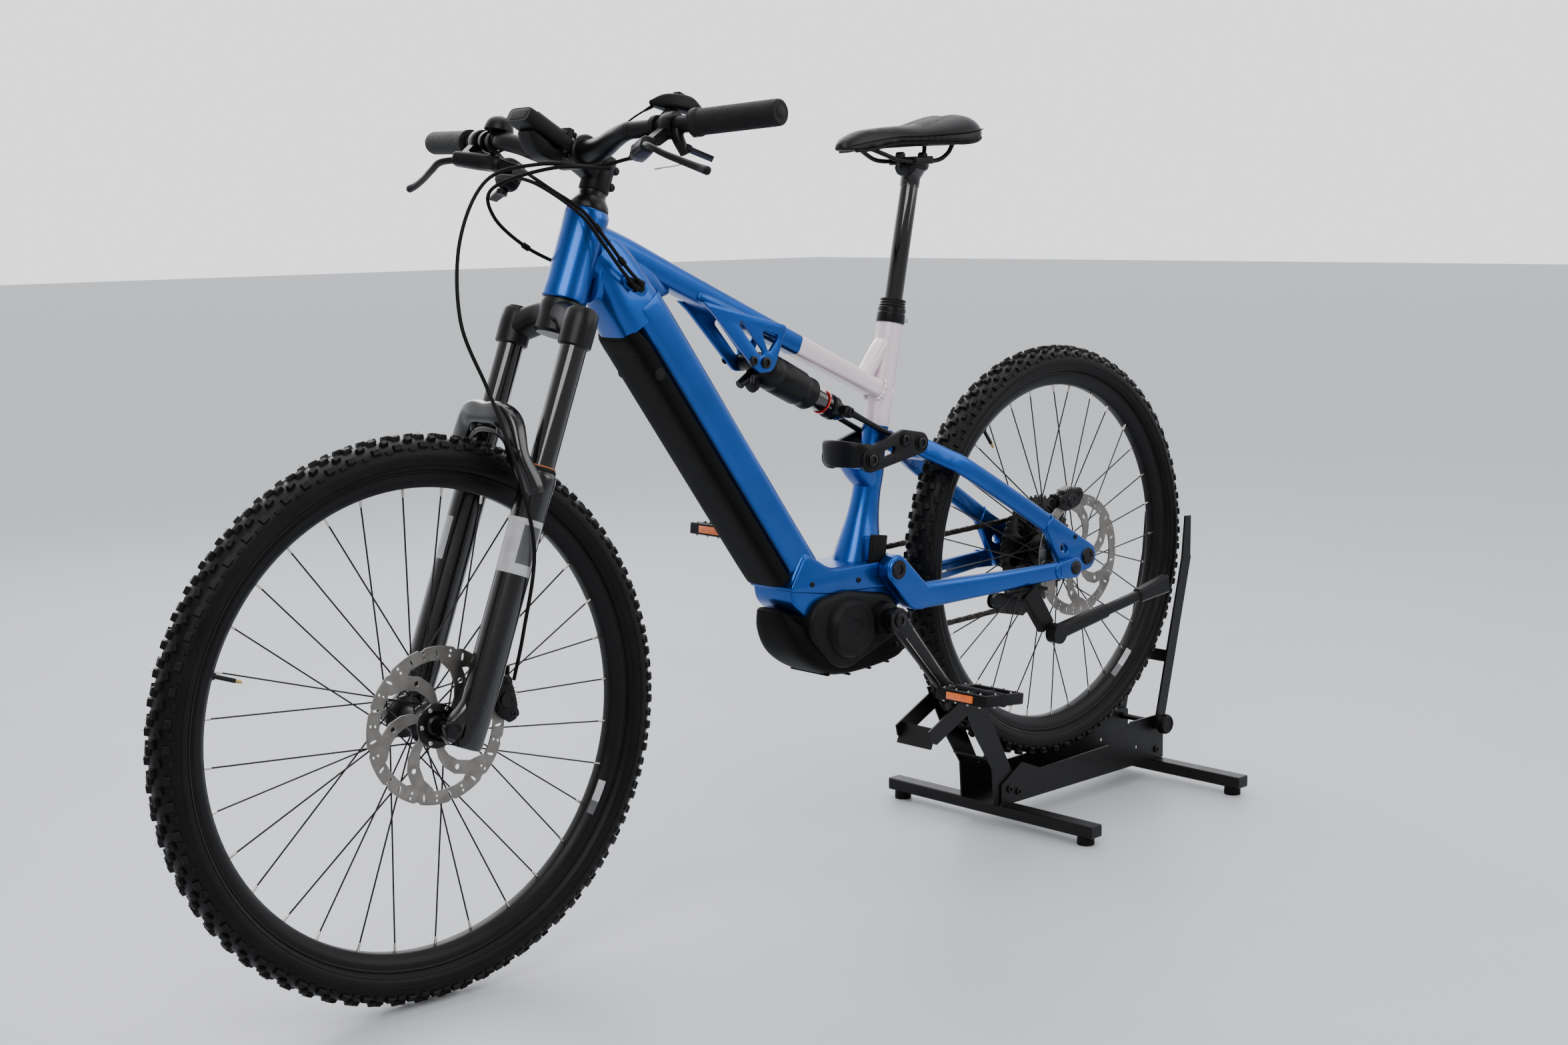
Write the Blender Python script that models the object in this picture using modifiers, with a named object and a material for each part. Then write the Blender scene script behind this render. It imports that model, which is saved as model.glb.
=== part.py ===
"""Full-suspension electric mountain bike held by its rear wheel in a floor stand.

Metres, +Z up.  The bike points along -X and its left side faces -Y.  Side-view
positions are (x, z) pairs measured from the point on the floor below the front
axle; pieces that turn with the handlebar are laid out in the steering frame,
whose Z runs up the steering axis and whose X points back towards the saddle.
"""
import math

import bmesh
import bpy
from mathutils import Matrix, Vector

# ---- overall layout ---------------------------------------------------------
FRONT_AXLE_X = -0.6237            # these two put the middle of the whole object over the origin
BIKE_Y = -0.0019
GAP = 0.0004                      # clearance between pieces that meet
HEAD_CENTRE = (0.273, 0.949)
HEAD_ANGLE = math.radians(69.0)
STEER_ANGLE = math.radians(-2.7)  # the bar rests turned slightly to one side
SEAT_ANGLE = math.radians(77.8)
SEAT_TOP = (0.880, 0.833)
BOTTOM_BRACKET = (0.800, 0.395)
MAIN_PIVOT = (0.824, 0.466)
HORST_PIVOT = (1.221, 0.422)
ROCKER_PIVOT = (0.792, 0.634)
STAY_PIVOT = (0.901, 0.651)
YOKE_PIVOT = (0.864, 0.659)
SHOCK_PIVOT = (0.590, 0.791)
REAR_AXLE = (1.269, 0.434)
FRONT_AXLE = (-0.0467, -0.6402)   # steering frame
STAND_KNOB = (1.522, 0.100)
KICKSTAND_PIVOT = (1.145, 0.327)

# ---- wheels -----------------------------------------------------------------
FRONT_TYRE_R = 0.3675
FRONT_RIM_R = 0.2985
REAR_TYRE_R = 0.3460
REAR_RIM_R = 0.2795
RIM_DEPTH = 0.018
RIM_HALF_WIDTH = 0.0165
TYRE_HALF_WIDTH = 0.0305
TYRE_WALL = 0.003
SPOKES = 32
SPOKE_R = 0.0010
ROTOR_R = 0.1015
ROTOR_THICKNESS = 0.0018
FRONT_ROTOR_Y = -0.0430
REAR_ROTOR_Y = -0.0590

# ---- frame tubes ------------------------------------------------------------
HEAD_TUBE_R = 0.030
HEAD_TUBE_LENGTH = 0.125
DOWN_DIR = Vector((0.589, 0.0, -0.808))
DOWN_UP = Vector((0.808, 0.0, 0.589))
DOWN_CENTRE = Vector((0.4193, 0.0, 0.7907))
DOWN_WIDTH = 0.078
DOWN_HEIGHT = 0.086
COVER_HEIGHT = 0.027
COVER_START = -0.060
COVER_END = 0.371

# ---- fork and cockpit (steering frame) --------------------------------------
LEG_X = -0.0150
LEG_Y = 0.0715
STANCHION_R = 0.0175
LEG_R = 0.0225
LOWERS_TOP = -0.2960
LEG_BOTTOM = -0.6600
STEERER_R = 0.0145
STEM_CLAMP = (-0.044, 0.1285)
BAR_CLAMP_R = 0.0159
BAR_END_R = 0.0111
GRIP_R = 0.0165
GRIP_INNER = Vector((-0.0508, 0.250, 0.1530))
GRIP_OUTER = Vector((-0.0302, 0.380, 0.1668))

# ---- saddle and post --------------------------------------------------------
POST_R = 0.0154
COLLAR_R = 0.0215
SADDLE_FRONT = 0.767
SADDLE_REAR = 1.035

# ---- stand ------------------------------------------------------------------
BAR_WIDTH = 0.028
BAR_HEIGHT = 0.020
BAR_LENGTH = 0.440
FOOT_HEIGHT = 0.014
FOOT_R = 0.013
FRONT_BAR_X = 1.118
REAR_BAR_X = 1.525
CHANNEL_HALF = 0.0400
SHEET = 0.003

TAU = 2.0 * math.pi
ROUND = 16

for old in list(bpy.data.objects):
    bpy.data.objects.remove(old, do_unlink=True)

scene = bpy.context.scene
tools = bpy.data.collections.new("cutters")
scene.collection.children.link(tools)


def empty(name, location, parent=None):
    """Joint frame that pieces hang from."""
    frame = bpy.data.objects.new(name, None)
    frame.empty_display_size = 0.05
    frame.location = location
    frame.parent = parent
    scene.collection.objects.link(frame)
    return frame


BIKE = empty("bike_origin", (FRONT_AXLE_X, BIKE_Y, 0.0))
STEER = empty("steering_axis", (HEAD_CENTRE[0], 0.0, HEAD_CENTRE[1]), BIKE)
STEER.rotation_mode = "ZYX"
STEER.rotation_euler = (0.0, math.pi / 2 - HEAD_ANGLE, STEER_ANGLE)


def material(name, colour, roughness, metallic):
    made = bpy.data.materials.new(name)
    made.use_nodes = True
    shader = made.node_tree.nodes["Principled BSDF"]
    shader.inputs["Base Color"].default_value = (*colour, 1.0)
    shader.inputs["Roughness"].default_value = roughness
    shader.inputs["Metallic"].default_value = metallic
    return made


def link(name, data, parent):
    piece = bpy.data.objects.new(name, data)
    piece.parent = parent
    scene.collection.objects.link(piece)
    return piece


def hide_tool(piece):
    """Move a helper solid out of the visible scene."""
    scene.collection.objects.unlink(piece)
    tools.objects.link(piece)
    piece.hide_render = True
    piece.display_type = "WIRE"


def as_mesh(piece):
    """Bake a piece's modifiers or curve into a plain mesh in its parent's frame."""
    bpy.context.view_layer.update()
    graph = bpy.context.evaluated_depsgraph_get()
    mesh = bpy.data.meshes.new_from_object(piece.evaluated_get(graph))
    work = bmesh.new()
    work.from_mesh(mesh)
    bmesh.ops.remove_doubles(work, verts=work.verts, dist=0.00002)
    bmesh.ops.recalc_face_normals(work, faces=work.faces)
    bmesh.ops.transform(work, matrix=piece.matrix_basis, verts=work.verts)
    work.to_mesh(mesh)
    work.free()
    name, parent = piece.name, piece.parent
    bpy.data.objects.remove(piece, do_unlink=True)
    return link(name, mesh, parent)


def add_bevel(piece, width, segments):
    bevel = piece.modifiers.new("Bevel", "BEVEL")
    bevel.width = width
    bevel.segments = segments
    bevel.limit_method = "ANGLE"
    bevel.angle_limit = math.radians(40.0)
    return piece


def box(size, centre, parent=BIKE, turn_y=0.0, bevel=0.0, segments=1):
    """Block with its length along X, turned about Y."""
    mesh = bpy.data.meshes.new("block")
    work = bmesh.new()
    bmesh.ops.create_cube(work, size=1.0)
    bmesh.ops.scale(work, vec=size, verts=work.verts)
    work.to_mesh(mesh)
    work.free()
    piece = link("block", mesh, parent)
    piece.location = centre
    piece.rotation_euler = (0.0, turn_y, 0.0)
    if bevel:
        add_bevel(piece, bevel, segments)
    return as_mesh(piece)


def beam(start, end, size_a, size_b, parent=BIKE, bevel=0.0, segments=1, side=None):
    """Tapered bar from start to end; sizes are (width along side, height)."""
    start, end = Vector(start), Vector(end)
    along = (end - start).normalized()
    side = Vector(side or (0.0, 1.0, 0.0))
    side = (side - along * side.dot(along)).normalized()
    up = side.cross(along)
    mesh = bpy.data.meshes.new("beam")
    work = bmesh.new()
    bmesh.ops.create_cube(work, size=1.0)
    for vert in work.verts:
        tip, size = (end, size_b) if vert.co.x > 0.0 else (start, size_a)
        vert.co = tip + side * (vert.co.y * size[0]) + up * (vert.co.z * size[1])
    bmesh.ops.recalc_face_normals(work, faces=work.faces)
    work.to_mesh(mesh)
    work.free()
    piece = link("beam", mesh, parent)
    if bevel:
        add_bevel(piece, bevel, segments)
    return as_mesh(piece)


def rod(start, end, radius, parent=BIKE, radius_end=None, sides=ROUND):
    """Round bar between two points."""
    start, end = Vector(start), Vector(end)
    along = end - start
    mesh = bpy.data.meshes.new("rod")
    work = bmesh.new()
    bmesh.ops.create_cone(work, cap_ends=True, segments=sides, radius1=radius,
                          radius2=radius_end or radius, depth=along.length)
    turn = along.to_track_quat("Z", "Y").to_matrix().to_4x4()
    bmesh.ops.transform(work, matrix=Matrix.Translation((start + end) / 2) @ turn, verts=work.verts)
    work.to_mesh(mesh)
    work.free()
    return link("rod", mesh, parent)


def pin(point, y_from, y_to, radius, parent=BIKE, sides=ROUND):
    """Round bar across the bike at an (x, z) point."""
    low, high = min(y_from, y_to), max(y_from, y_to)
    return rod((point[0], low, point[1]), (point[0], high, point[1]), radius, parent, sides=sides)


def lathe(profile, centre, along, parent=BIKE, steps=32, closed=False):
    """Turned solid: profile is (radius, height) pairs read down the outer side."""
    mesh = bpy.data.meshes.new("turning")
    work = bmesh.new()
    verts = [work.verts.new((radius, 0.0, height)) for radius, height in profile]
    pairs = list(zip(verts, verts[1:]))
    if closed:
        pairs.append((verts[-1], verts[0]))
    for pair in pairs:
        work.edges.new(pair)
    work.to_mesh(mesh)
    work.free()
    piece = link("turning", mesh, parent)
    screw = piece.modifiers.new("Turn", "SCREW")
    screw.steps = steps
    screw.render_steps = steps
    screw.use_merge_vertices = True
    screw.merge_threshold = 0.00005
    screw.use_normal_calculate = True
    piece.rotation_mode = "QUATERNION"
    piece.rotation_quaternion = Vector(along).to_track_quat("Z", "Y")
    piece.location = centre
    return as_mesh(piece)


def tube(points, radius, parent=BIKE, radii=None, resolution=2):
    """Bent round bar through a list of points."""
    curve = bpy.data.curves.new("route", "CURVE")
    curve.dimensions = "3D"
    curve.bevel_depth = radius
    curve.bevel_resolution = resolution
    curve.use_fill_caps = True
    spline = curve.splines.new("POLY")
    spline.points.add(len(points) - 1)
    for index, (spot, point) in enumerate(zip(spline.points, points)):
        spot.co = (*point, 1.0)
        spot.radius = radii[index] if radii else 1.0
    return as_mesh(link("route", curve, parent))


def smooth_path(knots, per_span=6):
    """Points along a smooth curve through the knots."""
    knots = [Vector(knot) for knot in knots]
    ends = [2 * knots[0] - knots[1]] + knots + [2 * knots[-1] - knots[-2]]
    path = []
    for index in range(1, len(ends) - 2):
        before, here, there, after = ends[index - 1:index + 3]
        for step in range(per_span):
            s = step / per_span
            path.append(0.5 * ((2 * here) + (there - before) * s
                               + (2 * before - 5 * here + 4 * there - after) * s * s
                               + (3 * here - before - 3 * there + after) * s ** 3))
    path.append(knots[-1])
    return path


def hull_outline(circles, sides=14):
    """Rubber band outline round (x, z, radius) circles."""
    spots = []
    for x, z, radius in circles:
        for step in range(sides):
            angle = TAU * step / sides
            spots.append((x + radius * math.cos(angle), z + radius * math.sin(angle)))
    spots = sorted(set(spots))

    def half(points):
        chain = []
        for point in points:
            while len(chain) > 1 and turn(chain[-2], chain[-1], point) <= 1e-9:
                chain.pop()
            chain.append(point)
        return chain[:-1]

    return half(spots) + half(reversed(spots))


def turn(a, b, c):
    """Twice the signed area of a triangle."""
    return (b[0] - a[0]) * (c[1] - a[1]) - (b[1] - a[1]) * (c[0] - a[0])


def circle(x, z, radius, sides=ROUND):
    return [(x + radius * math.cos(TAU * step / sides), z + radius * math.sin(TAU * step / sides))
            for step in range(sides)]


def plate(outlines, y_from, y_to, parent=BIKE, bevel=0.0):
    """Flat sheet in the side-view plane; later outlines are holes in the first."""
    curve = bpy.data.curves.new("sheet", "CURVE")
    curve.dimensions = "2D"
    curve.fill_mode = "BOTH"
    curve.extrude = abs(y_to - y_from) / 2 - bevel
    curve.bevel_depth = bevel
    curve.bevel_resolution = 0
    curve.offset = -bevel
    for outline in outlines:
        spline = curve.splines.new("POLY")
        spline.points.add(len(outline) - 1)
        for spot, (x, z) in zip(spline.points, outline):
            spot.co = (x, z, 0.0, 1.0)
        spline.use_cyclic_u = True
    piece = link("sheet", curve, parent)
    piece.rotation_euler = (math.pi / 2, 0.0, 0.0)
    piece.location = (0.0, (y_from + y_to) / 2, 0.0)
    return as_mesh(piece)


def boolean(piece, tool, operation):
    modifier = piece.modifiers.new(operation.title(), "BOOLEAN")
    modifier.operation = operation
    modifier.solver = "EXACT"
    modifier.object = tool
    hide_tool(tool)


def join(name, look, solids, origin, cuts=(), parent=BIKE):
    """One piece made of overlapping solids less the cuts, with its origin where asked."""
    base = solids[0]
    base.name = name
    for other in solids[1:]:
        boolean(base, other, "UNION")
    for cut in cuts:
        boolean(base, cut, "DIFFERENCE")
    base.data.transform(Matrix.Translation(-Vector(origin)))
    base.location = origin
    base.data.materials.clear()
    base.data.materials.append(look)
    return base


def mirrored(point):
    return (point[0], -point[1], point[2])


def at(point, y=0.0):
    """3-D position of a side-view point."""
    return (point[0], y, point[1])


# ---- looks ------------------------------------------------------------------
BLUE = material("frame_blue", (0.01, 0.12, 0.55), 0.28, 0.55)
BLACK_METAL = material("black_metal", (0.012, 0.012, 0.013), 0.35, 0.6)
BLACK_PAINT = material("black_paint", (0.014, 0.014, 0.015), 0.45, 0.1)
PLASTIC = material("black_plastic", (0.015, 0.015, 0.016), 0.55, 0.0)
RUBBER = material("rubber", (0.016, 0.016, 0.016), 0.8, 0.0)
TYRE = material("tyre", (0.014, 0.014, 0.014), 0.75, 0.0)
STEEL = material("rotor_steel", (0.55, 0.54, 0.52), 0.35, 1.0)
COVER = material("saddle_cover", (0.014, 0.014, 0.015), 0.5, 0.0)
GLASS = material("display_glass", (0.01, 0.01, 0.012), 0.1, 0.0)


# ---- frame ------------------------------------------------------------------
def down_point(along, up=0.0, y=0.0):
    """Point in the down tube's own directions."""
    spot = DOWN_CENTRE + DOWN_DIR * along + DOWN_UP * up
    return (spot.x, y, spot.z)


def steering_line(height):
    """(x, z) on the steering axis, height measured along it from the head tube middle."""
    return (HEAD_CENTRE[0] + height * math.cos(HEAD_ANGLE), HEAD_CENTRE[1] + height * math.sin(HEAD_ANGLE))


def seat_line(height):
    """(x, z) on the seat tube axis, height measured along it from its top."""
    return (SEAT_TOP[0] + height * math.cos(SEAT_ANGLE), SEAT_TOP[1] + height * math.sin(SEAT_ANGLE))


MOTOR_ROUNDS = [(0.728, 0.386, 0.058), (0.800, 0.392, 0.040), (0.690, 0.400, 0.040)]
MOTOR_HALF = 0.056


def motor_block(y_from, y_to, spare=0.0):
    rounds = [(x, z, radius + spare) for x, z, radius in MOTOR_ROUNDS]
    return plate([hull_outline(rounds)], y_from, y_to)


def build_frame():
    head_low, head_high = steering_line(-HEAD_TUBE_LENGTH / 2), steering_line(HEAD_TUBE_LENGTH / 2)
    head = rod(at(head_low), at(head_high), HEAD_TUBE_R, sides=20)
    head_joint = beam(down_point(-0.190, 0.004), down_point(COVER_START + 0.002),
                      (0.052, 0.072), (DOWN_WIDTH, DOWN_HEIGHT), bevel=0.014)
    blue_height = DOWN_HEIGHT - COVER_HEIGHT
    down = beam(down_point(COVER_START - 0.010, COVER_HEIGHT / 2), down_point(0.388, COVER_HEIGHT / 2),
                (DOWN_WIDTH, blue_height), (DOWN_WIDTH, blue_height), bevel=0.012, segments=2)
    shell_outline = [(0.7050, 0.4800), (0.6500, 0.5130), (0.6130, 0.4700), (0.5950, 0.4390), (0.6480, 0.4100),
                     (0.7000, 0.3960), (0.8050, 0.3960), (0.8560, 0.4030), (0.8440, 0.4420),
                     (0.8420, 0.4780), (0.8000, 0.4800)]
    shell = plate([shell_outline], -0.0400, 0.0400, bevel=0.004)
    top = beam((0.318, 0.0, 0.966), (0.400, 0.0, 0.932), (0.046, 0.040), (0.040, 0.038), bevel=0.010)
    top_back = beam((0.385, 0.0, 0.938), (0.858, 0.0, 0.7300), (0.037, 0.034), (0.036, 0.027), bevel=0.009)
    web = beam((0.335, 0.0, 0.925), (0.400, 0.0, 0.895), (0.034, 0.050), (0.030, 0.036))
    seat_low = seat_line(-0.150)
    seat = lathe([(0.0150, 0.150), (0.0190, 0.150), (0.0190, 0.000), (0.0182, -0.030), (0.0205, -0.075),
                  (0.0200, -0.115), (0.0235, -0.160), (0.0330, -0.205), (0.0340, -0.225), (0.0150, -0.225)],
                 at(seat_low), seat_direction(), steps=16, closed=True)
    strut = beam((0.822, 0.0, 0.760), (0.866, 0.0, 0.806), (0.027, 0.022), (0.027, 0.020))
    knuckle = pin(ROCKER_PIVOT, -0.0300, 0.0300, 0.0165)
    knuckle_web = beam((0.790, 0.0, 0.634), (0.832, 0.0, 0.590), (0.050, 0.030), (0.036, 0.034))
    pivot_boss = pin(MAIN_PIVOT, -0.0348, 0.0348, 0.0210)
    pivot_web = beam((0.790, 0.0, 0.468), (0.826, 0.0, 0.462), (0.066, 0.040), (0.062, 0.034))
    port_pad = box((0.030, 0.0164, 0.038), (0.805, -0.0318, 0.497), turn_y=math.radians(8.0))
    solids = [head, head_joint, down, top, top_back, web, shell, seat, strut, knuckle, knuckle_web,
              pivot_boss, pivot_web, port_pad]
    window_front = hull_outline([(0.545, 0.848, 0.004), (0.582, 0.806, 0.004)], sides=8)
    window_rear = hull_outline([(0.590, 0.832, 0.004), (0.611, 0.826, 0.004), (0.597, 0.812, 0.003)], sides=6)
    mount_outline = [(0.470, 0.882), (0.492, 0.866), (0.574, 0.782), (0.590, 0.776), (0.606, 0.784), (0.632, 0.840)]
    for side in (-1, 1):
        solids.append(plate([mount_outline, window_front, window_rear], side * 0.0285, side * 0.0225))
    solids.append(beam((0.478, 0.0, 0.890), (0.626, 0.0, 0.832), (0.0545, 0.024), (0.0545, 0.020)))
    cuts = [rod(at(steering_line(-0.080)), at(steering_line(0.080)), 0.0215),
            motor_block(-0.050, 0.050, GAP),
            pin(ROCKER_PIVOT, -0.035, 0.035, 0.0060, sides=12),
            pin(SHOCK_PIVOT, -0.035, 0.035, 0.0050, sides=12),
            pin(MAIN_PIVOT, -0.050, 0.050, 0.0080, sides=12),
            box((0.090, 0.016, 0.130), (0.842, 0.0427, 0.445)),
            rod(at(seat_line(-0.245)), at(seat_line(0.020)), POST_R + GAP, sides=18)]
    return join("frame", BLUE, solids, (0.0, 0.0, 0.0), cuts)


def build_battery_cover():
    up = -DOWN_HEIGHT / 2 + COVER_HEIGHT / 2
    size = (DOWN_WIDTH, COVER_HEIGHT - 2 * GAP)
    cover = beam(down_point(COVER_START + 0.004, up), down_point(COVER_END, up), size, size, bevel=0.011, segments=2)
    return join("battery_cover", PLASTIC, [cover], down_point(0.0, up))


def build_motor():
    body = motor_block(-MOTOR_HALF, MOTOR_HALF)
    left_cover = rod((0.731, -0.050, 0.388), (0.731, -0.068, 0.388), 0.046, radius_end=0.040, sides=28)
    left_neck = pin(BOTTOM_BRACKET, -0.050, -0.066, 0.026)
    right_cover = rod((0.731, 0.050, 0.388), (0.731, 0.060, 0.388), 0.048, radius_end=0.044, sides=28)
    cuts = [pin(BOTTOM_BRACKET, side * 0.048, side * 0.080, 0.0150) for side in (-1, 1)]
    return join("motor", PLASTIC, [body, left_cover, left_neck, right_cover], at((0.731, 0.388)), cuts)


def build_skid_plate():
    outline = [(0.600, 0.4330), (0.606, 0.416), (0.640, 0.372), (0.675, 0.334), (0.705, 0.317), (0.745, 0.313),
               (0.800, 0.316), (0.862, 0.326), (0.872, 0.342), (0.850, 0.372), (0.760, 0.390), (0.680, 0.400),
               (0.648, 0.4080), (0.6065, 0.4305)]
    body = plate([outline], -0.0500, 0.0500, bevel=0.004)
    return join("skid_plate", PLASTIC, [body], at((0.740, 0.318)), [motor_block(-0.060, 0.060, GAP)])


def build_charge_cover():
    centre = Vector((0.805, -0.0422, 0.497))
    body = box((0.036, 0.0036, 0.044), centre, turn_y=math.radians(8.0), bevel=0.0015)
    return join("charge_port_cover", RUBBER, [body], centre)


def build_seat_collar():
    ring = lathe([(POST_R + GAP, 0.024), (COLLAR_R, 0.024), (COLLAR_R, GAP), (POST_R + GAP, GAP)],
                 at(SEAT_TOP), seat_direction(), steps=18, closed=True)
    ear = beam(at(seat_line(0.013), 0.0), (seat_line(0.013)[0] + 0.027, 0.0, seat_line(0.013)[1] - 0.006),
               (0.016, 0.014), (0.014, 0.012), bevel=0.002)
    bore = rod(at(seat_line(-0.010)), at(seat_line(0.040)), POST_R + GAP)
    return join("seat_collar", BLACK_METAL, [ring, ear], at(SEAT_TOP), [bore])


def seat_direction():
    return Vector((math.cos(SEAT_ANGLE), 0.0, math.sin(SEAT_ANGLE)))


# ---- rear suspension --------------------------------------------------------
def build_chainstay():
    solids = []
    for side, y, half in ((-1, -0.0560, 0.0112), (1, 0.0436, 0.0083)):
        solids.append(plate([hull_outline([(*MAIN_PIVOT, 0.0225), (0.866, 0.422, 0.0230), (0.878, 0.418, 0.0210)])],
                            y - half, y + half))
        solids.append(beam((0.862, y, 0.4175), (1.192, side * 0.0868, 0.4215), (2 * half, 0.044),
                           (0.0120, 0.028), bevel=0.004))
        solids.append(plate([hull_outline([(*HORST_PIVOT, 0.0165), (1.185, 0.421, 0.0140)])],
                            side * 0.0806, side * 0.0935))
    solids.append(box((0.026, 0.1060, 0.034), (0.888, -0.0060, 0.417)))
    bores = [pin(MAIN_PIVOT, -0.070, 0.060, 0.0080, sides=12)]
    base = solids.pop()
    return join("chainstay", BLUE, [base] + solids, at(MAIN_PIVOT), bores)


def build_main_axle():
    core = pin(MAIN_PIVOT, -0.0690, 0.0540, 0.0075, sides=12)
    heads = [pin(MAIN_PIVOT, -0.0705, -0.0676, 0.0150), pin(MAIN_PIVOT, 0.0523, 0.0552, 0.0130)]
    return join("main_pivot_axle", BLACK_METAL, [core] + heads, at(MAIN_PIVOT))


def build_seatstay():
    solids = []
    for side in (-1, 1):
        knots = [(STAY_PIVOT[0], side * 0.0278, STAY_PIVOT[1]), (0.922, side * 0.0278, 0.641),
                 (0.957, side * 0.0430, 0.623), (0.992, side * 0.0545, 0.605), (1.090, side * 0.0640, 0.548),
                 (1.190, side * 0.0725, 0.488)]
        for start, end in zip(knots, knots[1:]):
            solids.append(beam(start, end, (0.0135, 0.030), (0.0135, 0.030)))
        solids.append(plate([hull_outline([(1.180, 0.492, 0.0150), (*REAR_AXLE, 0.0220), (*HORST_PIVOT, 0.0160)])],
                            side * 0.0660, side * 0.0795))
        solids.append(pin(STAY_PIVOT, side * 0.0210, side * 0.0348, 0.0150))
    bridge = box((0.018, 0.0740, 0.024), (0.940, 0.0, 0.632), turn_y=math.radians(27.0))
    return join("seatstay", BLUE, [bridge] + solids, at(HORST_PIVOT))


def build_rocker():
    solids = []
    for side in (-1, 1):
        outline = hull_outline([(*ROCKER_PIVOT, 0.0190), (*YOKE_PIVOT, 0.0150), (*STAY_PIVOT, 0.0165)])
        window = hull_outline([(0.822, 0.640, 0.0050), (0.838, 0.645, 0.0060)], sides=12)
        solids.append(plate([outline, window], side * 0.0352, side * 0.0450))
        solids.append(beam((0.792, side * 0.0400, 0.640), (0.757, side * 0.0380, 0.642), (0.0100, 0.036),
                           (0.0100, 0.042), bevel=0.003))
    bridge = box((0.012, 0.0850, 0.044), (0.7580, 0.0, 0.642), bevel=0.005)
    return join("rocker", BLACK_METAL, [bridge] + solids, at(ROCKER_PIVOT))


SHOCK_DIR = (Vector(at(YOKE_PIVOT)) - Vector(at(SHOCK_PIVOT))).normalized()


def shock_point(along, up=0.0, y=0.0):
    spot = Vector(at(SHOCK_PIVOT)) + SHOCK_DIR * along
    return (spot.x + SHOCK_DIR.z * -up, y, spot.z + SHOCK_DIR.x * up)


def build_shock_body():
    eye = pin(SHOCK_PIVOT, -0.0215, 0.0215, 0.0120)
    can = lathe([(0.0, 0.134), (0.0215, 0.134), (0.0235, 0.126), (0.0265, 0.070), (0.0265, 0.027), (0.0215, 0.0200),
                 (0.0200, 0.006), (0.0, 0.006)], at(SHOCK_PIVOT), SHOCK_DIR, steps=16)
    valve = rod(shock_point(0.008, -0.012), shock_point(-0.010, -0.040), 0.0070, sides=12)
    bore = rod(shock_point(0.046), shock_point(0.150), 0.0172)
    return join("shock_body", BLACK_METAL, [can, eye, valve], at(SHOCK_PIVOT), [bore])


def build_shock_shaft():
    shaft = lathe([(0.0, 0.202), (0.0110, 0.202), (0.0150, 0.190), (0.0150, 0.178), (0.0165, 0.178), (0.0165, 0.090),
                   (0.0, 0.090)], at(SHOCK_PIVOT), SHOCK_DIR, steps=16)
    solids = [shaft, box((0.016, 0.0560, 0.0160), shock_point(0.192), turn_y=math.radians(25.7), bevel=0.003)]
    for side in (-1, 1):
        solids.append(rod(shock_point(0.190, 0.0, side * 0.0255), shock_point(0.300, 0.0, side * 0.0285), 0.0042,
                          sides=12))
        solids.append(pin(YOKE_PIVOT, side * 0.0238, side * 0.0346, 0.0095))
    return join("shock_shaft", BLACK_METAL, solids, shock_point(0.134))


# ---- drivetrain -------------------------------------------------------------
CRANK_LENGTH = 0.165
CRANK_ANGLE = math.radians(-48.8)


def crank_end(sign):
    return (BOTTOM_BRACKET[0] + sign * CRANK_LENGTH * math.cos(CRANK_ANGLE),
            BOTTOM_BRACKET[1] + sign * CRANK_LENGTH * math.sin(CRANK_ANGLE))


def build_crank(name, side, sign):
    tip = crank_end(sign)
    inner, outer = side * 0.0790, side * 0.0930
    arm = beam(at(BOTTOM_BRACKET, side * 0.0860), at(tip, side * 0.0880), (0.0140, 0.034), (0.0125, 0.025),
               bevel=0.003)
    solids = [arm, pin(BOTTOM_BRACKET, inner, outer, 0.0185), pin(tip, side * 0.0816, side * 0.0944, 0.0128),
              pin(BOTTOM_BRACKET, side * 0.0500, side * 0.0850, 0.0140)]
    return join(name, BLACK_METAL, solids, at(BOTTOM_BRACKET), [pin(tip, side * 0.070, side * 0.110, 0.0048, sides=12)])


def build_pedal(name, side, sign):
    tip = crank_end(sign)
    near, far = side * 0.1060, side * 0.2060
    body = box((0.094, 0.1000, 0.0180), (tip[0], (near + far) / 2, tip[1]), turn_y=PEDAL_TILT, bevel=0.004)
    core = pin(tip, near, far, 0.0110, sides=16)
    spindle = pin(tip, side * 0.0850, near + side * 0.004, 0.0044, sides=12)
    windows = []
    for fore in (-1, 1):
        for row in (-1, 1):
            centre = (tip[0] + fore * 0.026 * math.cos(PEDAL_TILT), (near + far) / 2 + row * 0.021,
                      tip[1] - fore * 0.026 * math.sin(PEDAL_TILT))
            windows.append(box((0.026, 0.0340, 0.0400), centre, turn_y=PEDAL_TILT))
    frame = join(name + "_frame", PLASTIC, [body], (0.0, 0.0, 0.0), windows)
    frame = as_mesh(frame)
    frame.name = name
    return join(name, PLASTIC, [frame, core, spindle], at(tip))


PEDAL_TILT = math.radians(6.0)


def build_chainring():
    outer = circle(*BOTTOM_BRACKET, 0.0700, 32)
    bore = circle(*BOTTOM_BRACKET, 0.0190, 12)
    windows = []
    for step in range(5):
        angle = TAU * (step + 0.5) / 5
        windows.append(circle(BOTTOM_BRACKET[0] + 0.043 * math.cos(angle), BOTTOM_BRACKET[1] + 0.043 * math.sin(angle),
                              0.0130, 8))
    return join("chainring", BLACK_METAL, [plate([outer, bore] + windows, 0.0625, 0.0655)], at(BOTTOM_BRACKET))


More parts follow.
